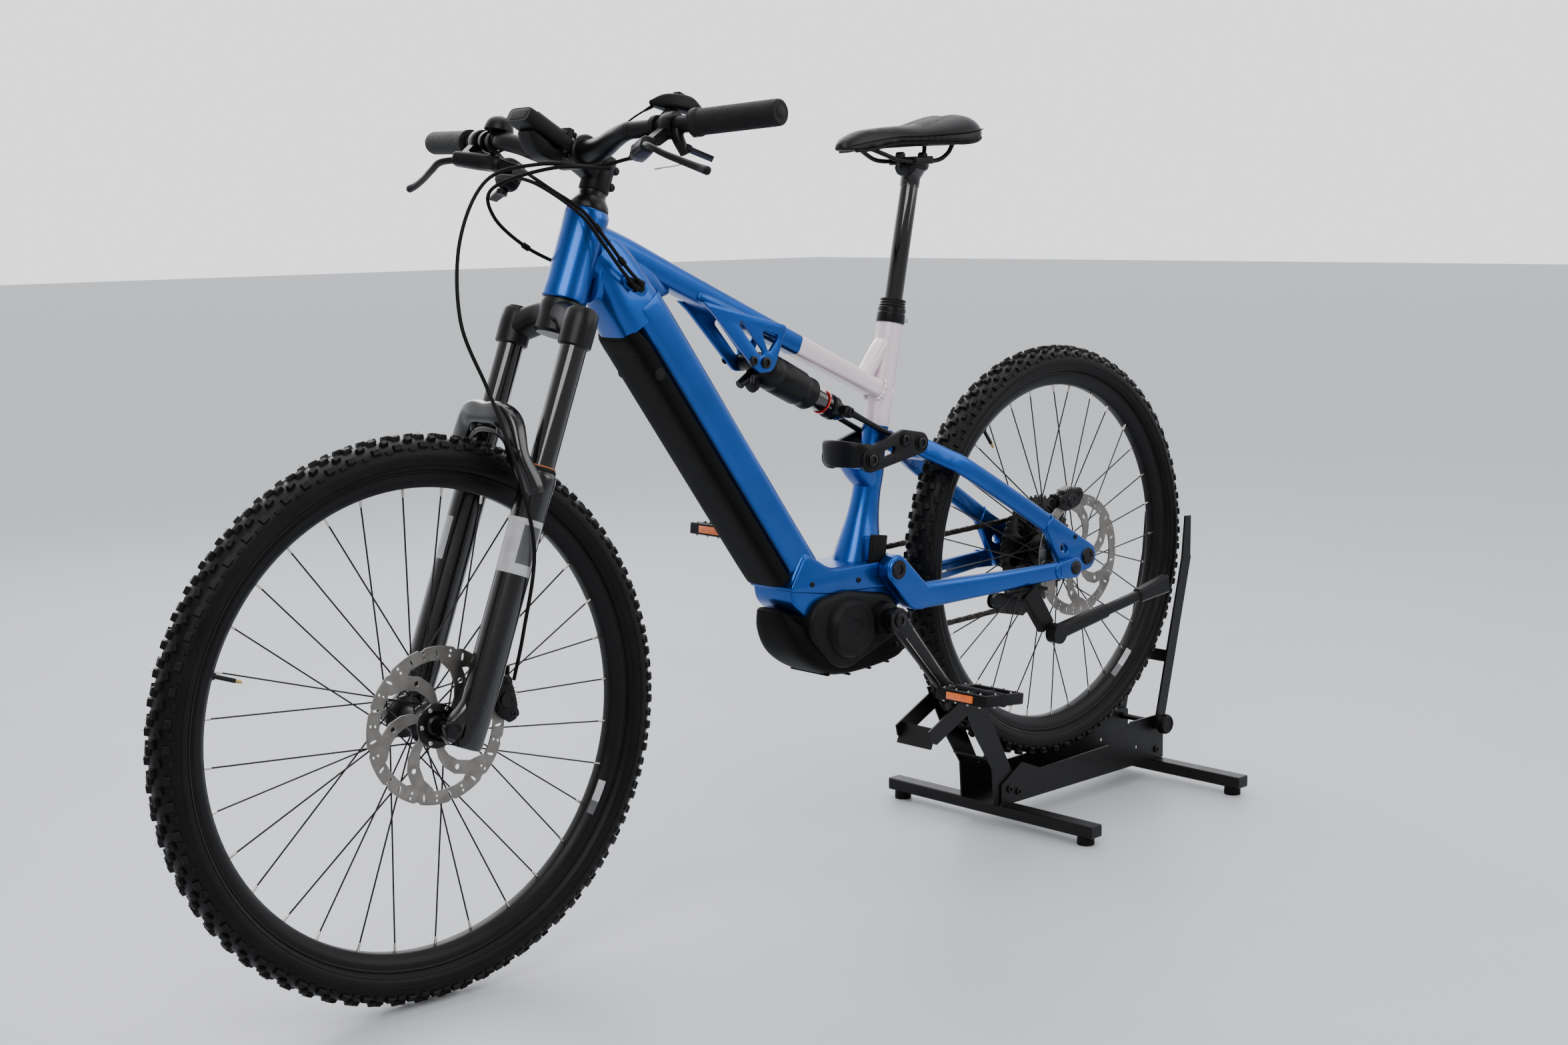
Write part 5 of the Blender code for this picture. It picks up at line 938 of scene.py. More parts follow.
def build_chain():
    """Links spaced along a loop round the chainring, the cassette and the two jockey wheels."""
    chain = Piece("chain_shape", "chainstay")
    loop = []

    def arc(centre, radius, y, first, last, steps):
        for step in range(steps + 1):
            angle = math.radians(first + (last - first) * step / steps)
            loop.append(at(polar(*centre, radius, angle), y))

    arc(BOTTOM_BRACKET, 0.074, 0.064, -92.0, -268.0, 24)
    arc(REAR_AXLE, 0.056, 0.047, 86.0, -40.0, 16)
    arc((1.262, 0.338), 0.0175, 0.056, 10.0, -80.0, 6)
    arc((1.196, 0.352), 0.0175, 0.056, -80.0, -100.0, 2)
    loop.append(loop[0])
    lengths = [0.0]
    for here, there in zip(loop, loop[1:]):
        lengths.append(lengths[-1] + (there - here).length)
    count = int(round(lengths[-1] / CHAIN_PITCH / 2)) * 2
    spots = []
    for index in range(count):
        goal = lengths[-1] * index / count
        span = max(k for k in range(len(lengths) - 1) if lengths[k] <= goal + 1e-9)
        share = (goal - lengths[span]) / max(1e-9, lengths[span + 1] - lengths[span])
        spots.append(loop[span].lerp(loop[span + 1], share))
    for index, here in enumerate(spots):
        there = spots[(index + 1) % count]
        outer = index % 2
        middle = (here + there) / 2
        reach = there - here
        tilt = math.atan2(reach.z, math.hypot(reach.x, reach.y))
        if reach.x < 0.0:
            tilt = math.pi - tilt
        offset = 0.0027 if outer else 0.0017
        half = reach.length / 2
        shape = hull([(-half, 0.0, 0.004), (half, 0.0, 0.004)], 10)
        for side in (-1, 1):
            chain.plate([shape], side * offset, side * (offset + 0.0009), CHAIN, bevel=0.0002, resolution=0,
                        spin=Matrix.Translation(middle) @ Matrix.Rotation(-tilt, 4, "Y"))
        chain.pin((here.x, here.z), here.y - 0.0034, here.y + 0.0034, 0.0018, CHAIN, 0.0002, steps=8)
        chain.pin((here.x, here.z), here.y - 0.0017, here.y + 0.0017, 0.0036, CHAIN, 0.0003, steps=10)
    chain.done("chain", slot="chain_steel")


# ---- wheels and brakes -----------------------------------------------------------
def build_wheel(end, centre, rim_r, flanges, hub, ends, space, valve_angle, labels):
    """Rim with blank labels, hub, crossed spokes with nipples, and a valve."""
    body = end + "_wheel"
    centre = Vector(centre)
    outer = rim_r + RIM_DEPTH
    wheel = Piece(body + "_shape", body, space)
    wheel.lathe(mirrored([(rim_r, 0.005), (rim_r + 0.0012, 0.0085), (outer - 0.008, 0.015), (outer - 0.003, 0.0166),
                          (outer + 0.0006, 0.0166), (outer + 0.0006, 0.0146), (outer - 0.003, 0.014),
                          (outer - 0.006, 0.0)]), centre, ACROSS, SATIN, steps=144, closed=True)
    for start, finish, tint in labels:
        for side in (-1, 1):
            wheel.lathe([(rim_r + 0.0022, side * 0.0097), (outer - 0.0082, side * 0.0156),
                         (outer - 0.008, side * 0.016), (rim_r + 0.002, side * 0.0101)], centre, ACROSS, tint,
                        steps=10, arc=(math.radians(start), math.radians(finish)))
    wheel.lathe([(0.0, ends[1])] + hub + [(0.0, ends[0])], centre, ACROSS, ANODISED, steps=48)
    for index in range(SPOKES):
        flange = flanges[index % 2]
        lean = 1.0 if (index // 2) % 2 else -1.0
        rim_angle = TAU * index / SPOKES
        hub_angle = rim_angle + lean * math.radians(62.0)
        shift = lean * 0.0014
        start = centre + at(polar(0.0, 0.0, 0.0245, hub_angle), flange + shift)
        outward = at(polar(0.0, 0.0, 1.0, rim_angle))
        end_spot = centre + outward * (rim_r + 0.002) + Vector((0.0, shift * 1.2 + flange * 0.08, 0.0))
        wheel.tube([start, end_spot], 0.00115, ANODISED, sides=6)
        along = (start - end_spot).normalized()
        wheel.rod(end_spot, end_spot + along * 0.013, 0.0021, SILVER, radius_end=0.0017, steps=10, chamfer=0.0004)
        wheel.rod(start - Vector((0.0, shift * 1.8, 0.0)), start + Vector((0.0, shift * 1.2, 0.0)), 0.002, SILVER,
                  steps=8, chamfer=0.0003)
    out = at(polar(0.0, 0.0, 1.0, math.radians(valve_angle)))
    root = centre + out * (rim_r + 0.001)
    wheel.rod(root, root - out * 0.006, 0.005, ANODISED)
    wheel.rod(root, root - out * 0.034, 0.003, ANODISED)
    wheel.rod(root - out * 0.033, root - out * 0.043, 0.0027, BRASS, radius_end=0.0018)
    wheel.done(body, slot="black_metal")


def build_tyre(end, centre, rim_r, tyre_r, space):
    """Casing with four rows of tread blocks on each half and fine moulding hairs on the blocks."""
    centre = Vector(centre)
    tyre = Piece(end + "_tyre_shape", end + "_wheel", space)
    bead = rim_r + RIM_DEPTH + 0.0004
    crown = tyre_r - 0.006
    rise = crown - bead
    outside = [(bead, 0.0162), (bead + 0.003, 0.0178), (bead + 0.0042, 0.0174), (bead + 0.16 * rise, 0.0232),
               (bead + 0.32 * rise, 0.0272), (bead + 0.5 * rise, 0.0284), (bead + 0.66 * rise, 0.0272),
               (bead + 0.82 * rise, 0.0225), (bead + 0.93 * rise, 0.015), (crown, 0.006)]
    inside = [(bead, 0.0125), (bead + 0.34 * rise, 0.024), (bead + 0.8 * rise, 0.012)]
    profile = outside + [(r, -y) for r, y in reversed(outside)] + [(r, -y) for r, y in inside]
    profile += list(reversed(inside))
    tyre.lathe(profile, centre, ACROSS, SIDEWALL, steps=160, closed=True)

    def block(angle, lean, width, length, base, top, skew=0.0):
        """Tread block standing on the casing at an angle round the tyre and a lean over its shoulder."""
        out = Vector((math.cos(angle), 0.0, math.sin(angle)))
        along = Vector((-math.sin(angle), 0.0, math.cos(angle)))
        up = (out * math.cos(lean) + Vector(ACROSS) * math.sin(lean)).normalized()
        wide = (Vector(ACROSS) * math.cos(lean) - out * math.sin(lean)).normalized()
        if skew:
            along, wide = (along * math.cos(skew) + wide * math.sin(skew),
                           wide * math.cos(skew) - along * math.sin(skew))
        foot = centre + out * (crown - 0.0236)
        rings = []
        for height, share in ((base, 1.0), (top - 0.0007, 0.84), (top, 0.72)):
            middle = foot + up * height
            rings.append([middle + wide * (a * width / 2 * share) + along * (b * length / 2 * share) for a,
                          b in ((-1, -1), (1, -1), (1, 1), (-1, 1))])
        tyre.skin(rings, TYRE)
        return foot + up * top

    tips = []
    step = TAU / TREAD_ROWS
    for index in range(TREAD_ROWS):
        angle = TAU * index / TREAD_ROWS
        spread = 0.16 if index % 2 else 0.21
        for side in (-1, 1):
            tips.append(block(angle + step * 0.12 * side, side * spread, 0.008, 0.0125, 0.0225, 0.029, side * 0.12))
            tips.append(block(angle + step * 0.5, side * 0.56, 0.0075, 0.0115, 0.0215, 0.03, side * 0.3))
            tips.append(block(angle + step * (0.1 if index % 2 else 0.02), side * 0.98, 0.0092, 0.0125, 0.0205,
                              0.0312))
            tips.append(block(angle + step * 0.52, side * 1.14, 0.0055, 0.0105, 0.021, 0.03))
    for tip in tips:
        if random.random() < 0.55:
            spot = tip + Vector((random.uniform(-0.003, 0.003), random.uniform(-0.003, 0.003),
                                 random.uniform(-0.003, 0.003)))
            out = (tip - centre).normalized()
            length = random.uniform(0.0022, 0.004)
            bend = Vector((random.uniform(-0.001, 0.001),) * 3)
            if (space.to_3x3() @ out).z < -0.975:
                continue
            tyre.tube([spot - out * 0.002, spot + out * length + bend], [0.00035, 0.00015], TYRE, sides=3)
    for side in (-1, 1):
        for radius, width in ((bead + 0.46 * rise, 0.0283), (bead + 0.22 * rise, 0.025)):
            tyre.tube([centre + at(polar(0.0, 0.0, radius, TAU * k / 120), side * width) for k in range(120)], 0.0006,
                      SIDEWALL, sides=6, loop=True)
    tyre.done(end + "_tyre", slot="tyre")


def build_rotor(end, centre, space):
    """Disc with swept arms, slots round its rim and a bolted carrier."""
    x, z = centre[0], centre[2]
    rotor = Piece(end + "_rotor_shape", end + "_wheel", space)

    def spot(radius, angle):
        return polar(x, z, radius, angle)

    wave = [spot(0.1015 - (0.0022 if (k % 15) in (0, 1) else 0.0), TAU * k / 180) for k in range(180)]
    outlines = [wave, [spot(0.0185, TAU * k / 40) for k in range(40)]]
    for arm in range(6):
        start = TAU * arm / 6
        sweep = [(0.03, 0.0), (0.042, 0.1), (0.056, 0.26), (0.07, 0.46), (0.08, 0.66)]
        near = [spot(r, start + a + 0.1) for r, a in sweep]
        far = [spot(r, start + a + 0.84 - 0.1 * (r / 0.08)) for r, a in sweep]
        rim = [spot(0.0838, start + 0.78 + a) for a in (0.0, 0.18, 0.36, 0.54)]
        outlines.append(near + rim + list(reversed(far)))
        outlines.append([spot(0.064 + 0.0035 * math.cos(TAU * k / 12),
                              start + 0.28 + 0.055 * math.sin(TAU * k / 12)) for k in range(12)])
    for index in range(30):
        middle = TAU * index / 30
        if index % 2:
            outlines.append([spot(0.0925 + 0.005 * math.cos(TAU * k / 12),
                                  middle + 0.018 * math.sin(TAU * k / 12) + 0.012 * math.cos(TAU * k / 12))
                             for k in range(12)])
        else:
            for radius in (0.0895, 0.0962):
                outlines.append([spot(radius + 0.0018 * math.cos(TAU * k / 10),
                                      middle + 0.0018 / radius * math.sin(TAU * k / 10)) for k in range(10)])
    rotor.plate(outlines, centre[1] - ROTOR_HALF, centre[1] + ROTOR_HALF, ROTOR, bevel=0.0002, resolution=0)
    rotor.plate([circle(x, z, 0.029), circle(x, z, 0.017)], centre[1] - 0.003, centre[1] + 0.0014, ANODISED,
                bevel=0.0008)
    for arm in range(6):
        rotor.bolt(at(spot(0.024, TAU * (arm + 0.3) / 6), centre[1] - 0.003), (0, -1, 0), 0.003, 0.0018, SILVER)
    rotor.done(end + "_rotor", slot="steel")


def build_caliper(name, body, centre, rotor_y, turn, space, hose_end):
    """Two bolted halves on either side of the rotor, with piston caps, cooling fins and a hose fitting."""
    caliper = Piece(name + "_shape", body, space)
    middle = Vector(centre)
    spin = Matrix.Rotation(turn, 3, "Y")

    def spot(x, y, z):
        return middle + spin @ Vector((x, 0.0, z)) + Vector((0.0, y, 0.0))

    along = spin @ Vector((1.0, 0.0, 0.0))
    upward = spin @ Vector((0.0, 0.0, 1.0))
    gap = rotor_y - middle.y
    for side in (-1, 1):
        inner, outer = gap + side * 0.0024, side * 0.013
        half = (inner + outer) / 2
        wide = abs(outer - inner)
        ends = ((0.029, 0.002, 0.8, 0.015, 2.6), (0.0225, 0.001, 1.0, 0.023, 3.0), (0.012, -0.001, 1.0, 0.03, 3.2))
        body_half = [(*spot(-x, half, z), wide * share, tall, power) for x, z, share, tall, power in ends]
        body_half += [(*spot(x, half, z), wide * share, tall, power) for x, z, share, tall, power in reversed(ends)]
        caliper.loft(body_half, SATIN, dome=0.002)
        caliper.lathe([(0.0, 0.0014), (0.006, 0.0014), (0.0068, 0.0024), (0.0098, 0.0022), (0.0112, 0.0),
                       (0.0, -0.001)], spot(0.0, outer, -0.002), (0, side, 0), ANODISED, steps=40)
        for x in (-0.021, 0.021):
            caliper.bolt(spot(x, outer - side * 0.0008, 0.003), (0, side, 0), 0.0036, 0.0022)
    for x in (-0.0215, 0.0215):
        caliper.loft([(*spot(x, -0.0115, 0.008), 0.012, 0.009, 3.0), (*spot(x, 0.0115, 0.008), 0.012, 0.009, 3.0)],
                     SATIN, side=tuple(along))
    for step in range(5):
        x = -0.0096 + 0.0048 * step
        caliper.loft([(*spot(x, -0.0085, 0.015), 0.0014, 0.008, 4.0), (*spot(x, 0.0085, 0.015), 0.0014, 0.008, 4.0)],
                     SILVER, side=tuple(along))
    fitting = spot(hose_end * 0.024, 0.0, 0.009)
    outward = (along * hose_end + upward * 0.4).normalized()
    caliper.rod(fitting, fitting + upward * 0.006, 0.005, ANODISED)
    caliper.rod(fitting + upward * 0.003, fitting + upward * 0.003 + outward * 0.015, 0.0034, RUBBER,
                radius_end=0.0026)
    caliper.done(name, slot="black_metal")


# ---- fork ----------------------------------------------------------------------
def build_fork_upper():
    """Steerer, crown, two caps and two tubes."""
    upper = Piece("fork_crown_shape", "steering", STEER)
    upper.rod((0.0, 0.0, -0.1), (0.0, 0.0, 0.136), 0.0143, ANODISED)
    upper.lathe([(0.0, -0.11), (0.025, -0.11), (0.029, -0.106), (0.028, -0.085), (0.029, -0.078), (0.029, -0.07),
                 (0.0275, -0.064), (0.0, -0.064)], (0.0, 0.0, 0.0), UPWARD, POWDER)
    for side in (-1, 1):
        upper.loft([(0.0, side * 0.004, -0.083, 0.05, 0.04, 2.8), (-0.003, side * 0.03, -0.085, 0.046, 0.034, 3.0),
                    (-0.01, side * 0.055, -0.097, 0.042, 0.036, 3.0),
                    (LEG_X, side * 0.0715, -0.106, 0.038, 0.04, 2.6)], POWDER, side=FORE)
        upper.lathe([(0.0, -0.129), (0.02, -0.129), (0.0222, -0.1272), (0.0226, -0.1), (0.0216, -0.083),
                     (0.0196, -0.08), (0.0, -0.08)], (LEG_X, side * LEG_Y, 0.0), UPWARD, POWDER)
        upper.lathe([(0.0, 0.0016), (0.01, 0.0016), (0.0112, 0.003), (0.016, 0.003), (0.0172, 0.0012),
                     (0.0172, -0.001), (0.0, -0.001)], (LEG_X, side * LEG_Y, -0.08), UPWARD, ANODISED)
        upper.rod((LEG_X, side * LEG_Y, -0.48), (LEG_X, side * LEG_Y, -0.1), 0.0175, STANCHION, steps=56)
    upper.done("fork_upper", slot="black_paint")


def build_fork_lowers():
    """Two legs with seals, dropouts and blank labels, joined by an arch."""
    lowers = Piece("fork_lowers_shape", "fork_lowers", STEER)
    for side in (-1, 1):
        spot = (LEG_X, side * LEG_Y, 0.0)
        lowers.lathe([(0.0179, -0.65), (0.0179, -0.296), (0.02, -0.2955), (0.0212, -0.2985), (0.0222, -0.2995),
                      (0.0228, -0.304), (0.0228, -0.32), (0.0222, -0.324), (0.0222, -0.42), (0.0224, -0.52),
                      (0.0226, -0.57), (0.0215, -0.62), (0.02, -0.652), (0.0184, -0.659), (0.011, -0.66),
                      (0.01, -0.656), (0.0, -0.656), (0.0, -0.65)], spot, UPWARD, GLOSS_BLACK, steps=64)
        lowers.lathe([(0.0177, -0.2975), (0.0204, -0.297), (0.0206, -0.2945), (0.019, -0.2915), (0.0177, -0.2905)],
                     spot, UPWARD, RUBBER, closed=True)
        lowers.lathe([(0.0177, -0.291), (0.0184, -0.2907), (0.0184, -0.2894), (0.0177, -0.289)], spot, UPWARD, AMBER,
                     closed=True)
        lowers.loft([(LEG_X, side * 0.07, -0.585, 0.026, 0.034, 2.4),
                     (-0.022, side * 0.069, -0.618, 0.026, 0.04, 2.6),
                     (-0.04, side * 0.069, -0.64, 0.026, 0.034, 2.6),
                     (-0.05, side * 0.069, -0.646, 0.024, 0.022, 2.4)], GLOSS_BLACK, dome=0.004)
        lowers.lathe([(0.0, 0.0028), (0.006, 0.0028), (0.0072, 0.0046), (0.011, 0.0042), (0.0125, 0.0), (0.0, 0.0)],
                     (FRONT_AXLE[0], side * 0.0816, FRONT_AXLE[1]), (0, side, 0), ANODISED)
    lowers.rod((FRONT_AXLE[0], -0.08, FRONT_AXLE[1]), (FRONT_AXLE[0], -0.055, FRONT_AXLE[1]), 0.009, ANODISED)
    arch = [(-0.02, -0.083, -0.326, 0.026, 0.024, 2.8), (-0.0285, -0.079, -0.313, 0.027, 0.028, 2.8),
            (-0.05, -0.069, -0.288, 0.02, 0.03, 3.2), (-0.06, -0.05, -0.25, 0.025, 0.034, 3.4),
            (-0.068, -0.03, -0.237, 0.025, 0.032, 3.6), (-0.069, 0.0, -0.237, 0.024, 0.028, 3.6)]
    slant = (1.0, 0.0, 0.25)
    lowers.loft(mirrored(arch), GLOSS_BLACK, side=slant, per_span=5)
    lowers.loft(mirrored([(-0.04, -0.064, -0.305, 0.012, 0.012, 2.6), (-0.056, -0.038, -0.266, 0.012, 0.01, 2.6),
                          (-0.062, 0.0, -0.256, 0.012, 0.01, 2.6)]), GLOSS_BLACK, side=slant)
    for y in (-0.03, 0.03):
        lowers.loft([(-0.061, y, -0.26, 0.012, 0.01, 2.6), (-0.068, y, -0.236, 0.012, 0.01, 2.6)], GLOSS_BLACK,
                    side=slant)
    for side, high, low, turn, wide, skin, tint in ((-1, -0.36, -0.432, -134.0, 76.0, 0.00035, LABEL),
                                                    (-1, -0.368, -0.418, -98.0, 30.0, 0.00055, DARK_LABEL),
                                                    (1, -0.372, -0.43, 180.0, 22.0, 0.00035, LABEL)):
        lowers.lathe([(0.0224, low), (0.0224 + skin, low), (0.0224 + skin, high), (0.0224, high)],
                     (LEG_X, side * LEG_Y, 0.0), UPWARD, tint, steps=18,
                     arc=(math.radians(turn - wide), math.radians(turn + wide)))
    lowers.rod((-0.06, -0.066, -0.28), (-0.06, -0.079, -0.286), 0.006, PLASTIC, chamfer=0.0015)
    lowers.done("fork_lowers", slot="black_paint")


# ---- cockpit ----------------------------------------------------------------------
GRIP_INNER = Vector((-0.0508, 0.25, 0.153))
GRIP_OUTER = Vector((-0.0302, 0.38, 0.1668))
CLAMP = Vector((-0.044, 0.0, 0.1285))


def bar(y):
    spot = GRIP_INNER.lerp(GRIP_OUTER, (abs(y) - GRIP_INNER.y) / (GRIP_OUTER.y - GRIP_INNER.y))
    return Vector((spot.x, y, spot.z))


def bar_along(y):
    return (bar(y + math.copysign(0.05, y)) - bar(y)).normalized()


def clamp(piece, y, inner, ridge, finish):
    """Narrow ring that holds a control on the bar."""
    piece.lathe([(inner, -0.004), (0.015, -0.004), (ridge, 0.0), (0.015, 0.004), (inner, 0.004)], bar(y),
                bar_along(y), finish, closed=True)


def build_stem():
    """Spacers, clamp and bolts on the steerer."""
    stem = Piece("stem_shape", "steering", STEER)
    stem.lathe([(0.015, 0.063), (0.0268, 0.063), (0.0274, 0.065), (0.0262, 0.072), (0.021, 0.08), (0.019, 0.083),
                (0.0186, 0.09), (0.015, 0.09)], (0, 0, 0), UPWARD, ANODISED, closed=True)
    stem.lathe([(0.015, 0.0905), (0.02, 0.0905), (0.0206, 0.0925), (0.0206, 0.137), (0.0196, 0.1398), (0.015, 0.14)],
               (0, 0, 0), UPWARD, SATIN, closed=True)
    stem.lathe([(0.0, 0.14), (0.006, 0.14), (0.007, 0.1418), (0.015, 0.1414), (0.0175, 0.1396), (0.0, 0.139)],
               (0, 0, 0), UPWARD, ANODISED)
    stem.loft([(0.004, 0.0, 0.115, 0.036, 0.04, 3.2), (-0.018, 0.0, 0.12, 0.036, 0.034, 3.4),
               (-0.034, 0.0, 0.1255, 0.046, 0.036, 3.6), (-0.046, 0.0, 0.128, 0.052, 0.038, 3.6)], SATIN)
    stem.rod(CLAMP + Vector((0, -0.0272, 0)), CLAMP + Vector((0, 0.0272, 0)), 0.0226, SATIN, chamfer=0.0022, steps=56)
    for z in (0.103, 0.126):
        stem.rod((0.0185, -0.0135, z), (0.0185, 0.0135, z), 0.0058, SATIN, chamfer=0.0014)
        stem.bolt((0.0185, -0.0135, z), (0, -1, 0), 0.004, 0.0016)
    for y in (-0.02, 0.02):
        for z in (-0.015, 0.015):
            stem.bolt(CLAMP + Vector((-0.02, y, z)), (-1, 0, 0), 0.0038, 0.004)
    stem.done("stem", slot="black_metal")


def build_handlebar():
    """Bar with rise and sweep, thicker at the clamp."""
    tube = Piece("handlebar_shape", "steering", STEER)
    right = [(*CLAMP, 0.0159), (-0.044, 0.04, 0.1285, 0.0159), (-0.05, 0.07, 0.131, 0.0153),
             (-0.06, 0.105, 0.1375, 0.0134), (*bar(0.14), 0.0118), (*bar(0.17), 0.0111), (*bar(0.3795), 0.0111)]
    left = [(x, -y, z, r) for x, y, z, r in reversed(right[1:])]
    path = smooth(left + right, 8)
    tube.tube([station[:3] for station in path], [station[3] for station in path], SATIN, sides=32)
    tube.done("handlebar", slot="black_metal")


def build_grip(name, side):
    grip = Piece(name + "_shape", "steering", STEER)
    start, end = bar(side * 0.248), bar(side * 0.381)
    length = (end - start).length
    profile = [(0.0113, 0.0), (0.0172, 0.0), (0.018, 0.0012), (0.018, 0.0092), (0.0172, 0.0106), (0.016, 0.012)]
    for ring in range(20):
        at_height = 0.015 + (length - 0.023) * ring / 20
        profile += [(0.01655, at_height), (0.01655, at_height + 0.0042), (0.0163, at_height + 0.0047)]
    profile += [(0.0165, length - 0.005), (0.0158, length - 0.0015), (0.014, length), (0.0, length)]
    grip.lathe(profile, start, end - start, GRIP, steps=48)
    grip.lathe([(0.0, 0.0006), (0.0075, 0.0006), (0.0085, 0.0), (0.0, -0.001)], end, end - start, PLASTIC)
    grip.bolt(start + bar_along(side * 0.25) * 0.0055 + Vector((0.0, 0.0, -0.0178)), (0, 0, -1), 0.0026, 0.0014)
    grip.done(name, slot="rubber")


def build_brake_lever(name, side):
    lever = Piece(name + "_shape", name, STEER)
    pivot = Vector((-0.083, side * 0.204, 0.113))
    knots = [(*pivot, 0.012, 0.0078, 2.8), (*(pivot + Vector((-0.014, side * 0.03, -0.008))), 0.01, 0.008, 2.8),
             (*(pivot + Vector((-0.01, side * 0.055, -0.017))), 0.0095, 0.0085, 2.6),
             (*(pivot + Vector((-0.001, side * 0.085, -0.025))), 0.009, 0.0092, 2.4),
             (*(pivot + Vector((0.005, side * 0.112, -0.032))), 0.0092, 0.01, 2.4),
             (*(pivot + Vector((0.006, side * 0.128, -0.036))), 0.0105, 0.0112, 2.2)]
    lever.loft(knots, SATIN, side=FORE, dome=0.003)
    lever.rod(pivot + Vector((0, 0, -0.0046)), pivot + Vector((0, 0, 0.0046)), 0.007, ANODISED)
    lever.bolt(pivot + Vector((0, 0, 0.0046)), UPWARD, 0.004, 0.0012, SILVER)
    lever.done(name, slot="black_metal")


def build_brake_fittings(name, side):
    """Master cylinder, boot, cap screws and bar clamp around the plain lever body."""
    extra = Piece(name + "_fittings", "steering", STEER)
    root, head = Vector((-0.056, side * 0.156, 0.115)), Vector((-0.086, side * 0.215, 0.113))
    way = (head - root).normalized()
    extra.loft([(*(root - way * 0.002), 0.02, 0.02, 2.4), (*root.lerp(head, 0.4), 0.023, 0.0234, 2.6),
                (*head, 0.019, 0.0204, 3.4)], SATIN, side=(0.0, 0.0, 1.0), dome=0.003)
    extra.lathe([(0.0, 0.0), (0.0074, 0.0), (0.0066, 0.01), (0.005, 0.02), (0.0034, 0.03), (0.0, 0.031)], root,
                Vector((-0.046, side * 0.129, 0.1145)) - root, RUBBER)
    for share in (0.25, 0.75):
        extra.bolt(root.lerp(head, share) + Vector((0.0, 0.0, 0.0112)), UPWARD, 0.0026, 0.0012, SILVER)
    extra.lathe([(0.0122, -0.007), (0.0168, -0.007), (0.0174, -0.005), (0.0174, 0.005), (0.0168, 0.007),
                 (0.0122, 0.007)], bar(side * 0.212), bar_along(side * 0.2), ANODISED, closed=True)
    extra.done(slot="black_metal")


def build_bell():
    bell = Piece("bell_shape", "steering", STEER)
    spot = bar(0.16) + Vector((-0.004, -0.004, 0.0135))
    bell.lathe([(0.0, 0.0206), (0.004, 0.0204), (0.01, 0.0188), (0.015, 0.0158), (0.0182, 0.0112), (0.02, 0.005),
                (0.0204, 0.0018), (0.0204, 0.0), (0.0186, 0.0), (0.017, -0.001), (0.0, -0.001)], spot,
               (-0.1, 0.0, 1.0), SATIN)
    bell.lathe([(0.0, 0.0012), (0.003, 0.001), (0.0034, 0.0), (0.0, -0.001)], spot + Vector((-0.002, 0, 0.0203)),
               (-0.1, 0, 1), SILVER)
    clamp(bell, 0.16, 0.0122, 0.0156, PLASTIC)
    bell.done("bell", slot="black_metal")


def build_display():
    screen = Piece("display_shape", "steering", STEER)
    tilt = math.radians(-10.7)
    forward = Vector((math.cos(tilt), 0.0, math.sin(tilt)))
    middle = Vector((-0.102, 0.0, 0.1345))
    screen.loft([(*(middle - forward * 0.04), 0.046, 0.018, 4.6), (*(middle - forward * 0.035), 0.05, 0.022, 5.0),
                 (*(middle + forward * 0.028), 0.05, 0.02, 5.0), (*(middle + forward * 0.039), 0.044, 0.012, 4.0)],
                PLASTIC, dome=0.002)
    screen.box((0.054, 0.042, 0.0014), middle + Vector((0.0006, 0.0, 0.011)), SMOKED,
               frame_turn=Matrix.Rotation(-tilt, 4, "Y"), bevel=0.0005)
    screen.loft([(-0.124, 0.0, 0.127, 0.034, 0.012, 4.0), (-0.108, 0.0, 0.116, 0.038, 0.022, 4.4),
                 (-0.09, 0.0, 0.11, 0.038, 0.02, 4.4), (-0.072, 0.0, 0.113, 0.034, 0.018, 3.4)], PLASTIC, dome=0.002)
    screen.box((0.01, 0.046, 0.032), (-0.0725, 0.0, 0.134), PLASTIC, bevel=0.0026)
    screen.done("display", slot="gloss_plastic")


def build_shifter():
    pod = Piece("shifter_shape", "steering", STEER)
    pod.loft([(-0.023, 0.17, 0.129, 0.03, 0.03, 3.0), (-0.0245, 0.17, 0.12, 0.034, 0.033, 3.2),
              (-0.0265, 0.17, 0.1, 0.031, 0.031, 3.2), (-0.028, 0.17, 0.0925, 0.024, 0.025, 2.8)], PLASTIC,
             dome=0.002)
    pod.loft([(-0.054, 0.186, 0.138, 0.01, 0.012, 2.8), (-0.03, 0.178, 0.12, 0.014, 0.016, 2.8)], ANODISED)
    clamp(pod, 0.186, 0.0118, 0.0154, ANODISED)
    pod.lathe([(0.0, 0.0016), (0.0096, 0.0016), (0.0106, 0.0), (0.0, -0.002)], (-0.0245, 0.17 - 0.0165, 0.112),
              (0, -1, 0), ANODISED)
    pod.lathe([(0.0026, 0.0), (0.0055, 0.0), (0.006, 0.004), (0.0046, 0.012), (0.0032, 0.0125), (0.0, 0.0125)],
              (-0.027, 0.156, 0.105), (-0.2, -1, -0.2), PLASTIC)
    pod.done("shifter", slot="plastic")


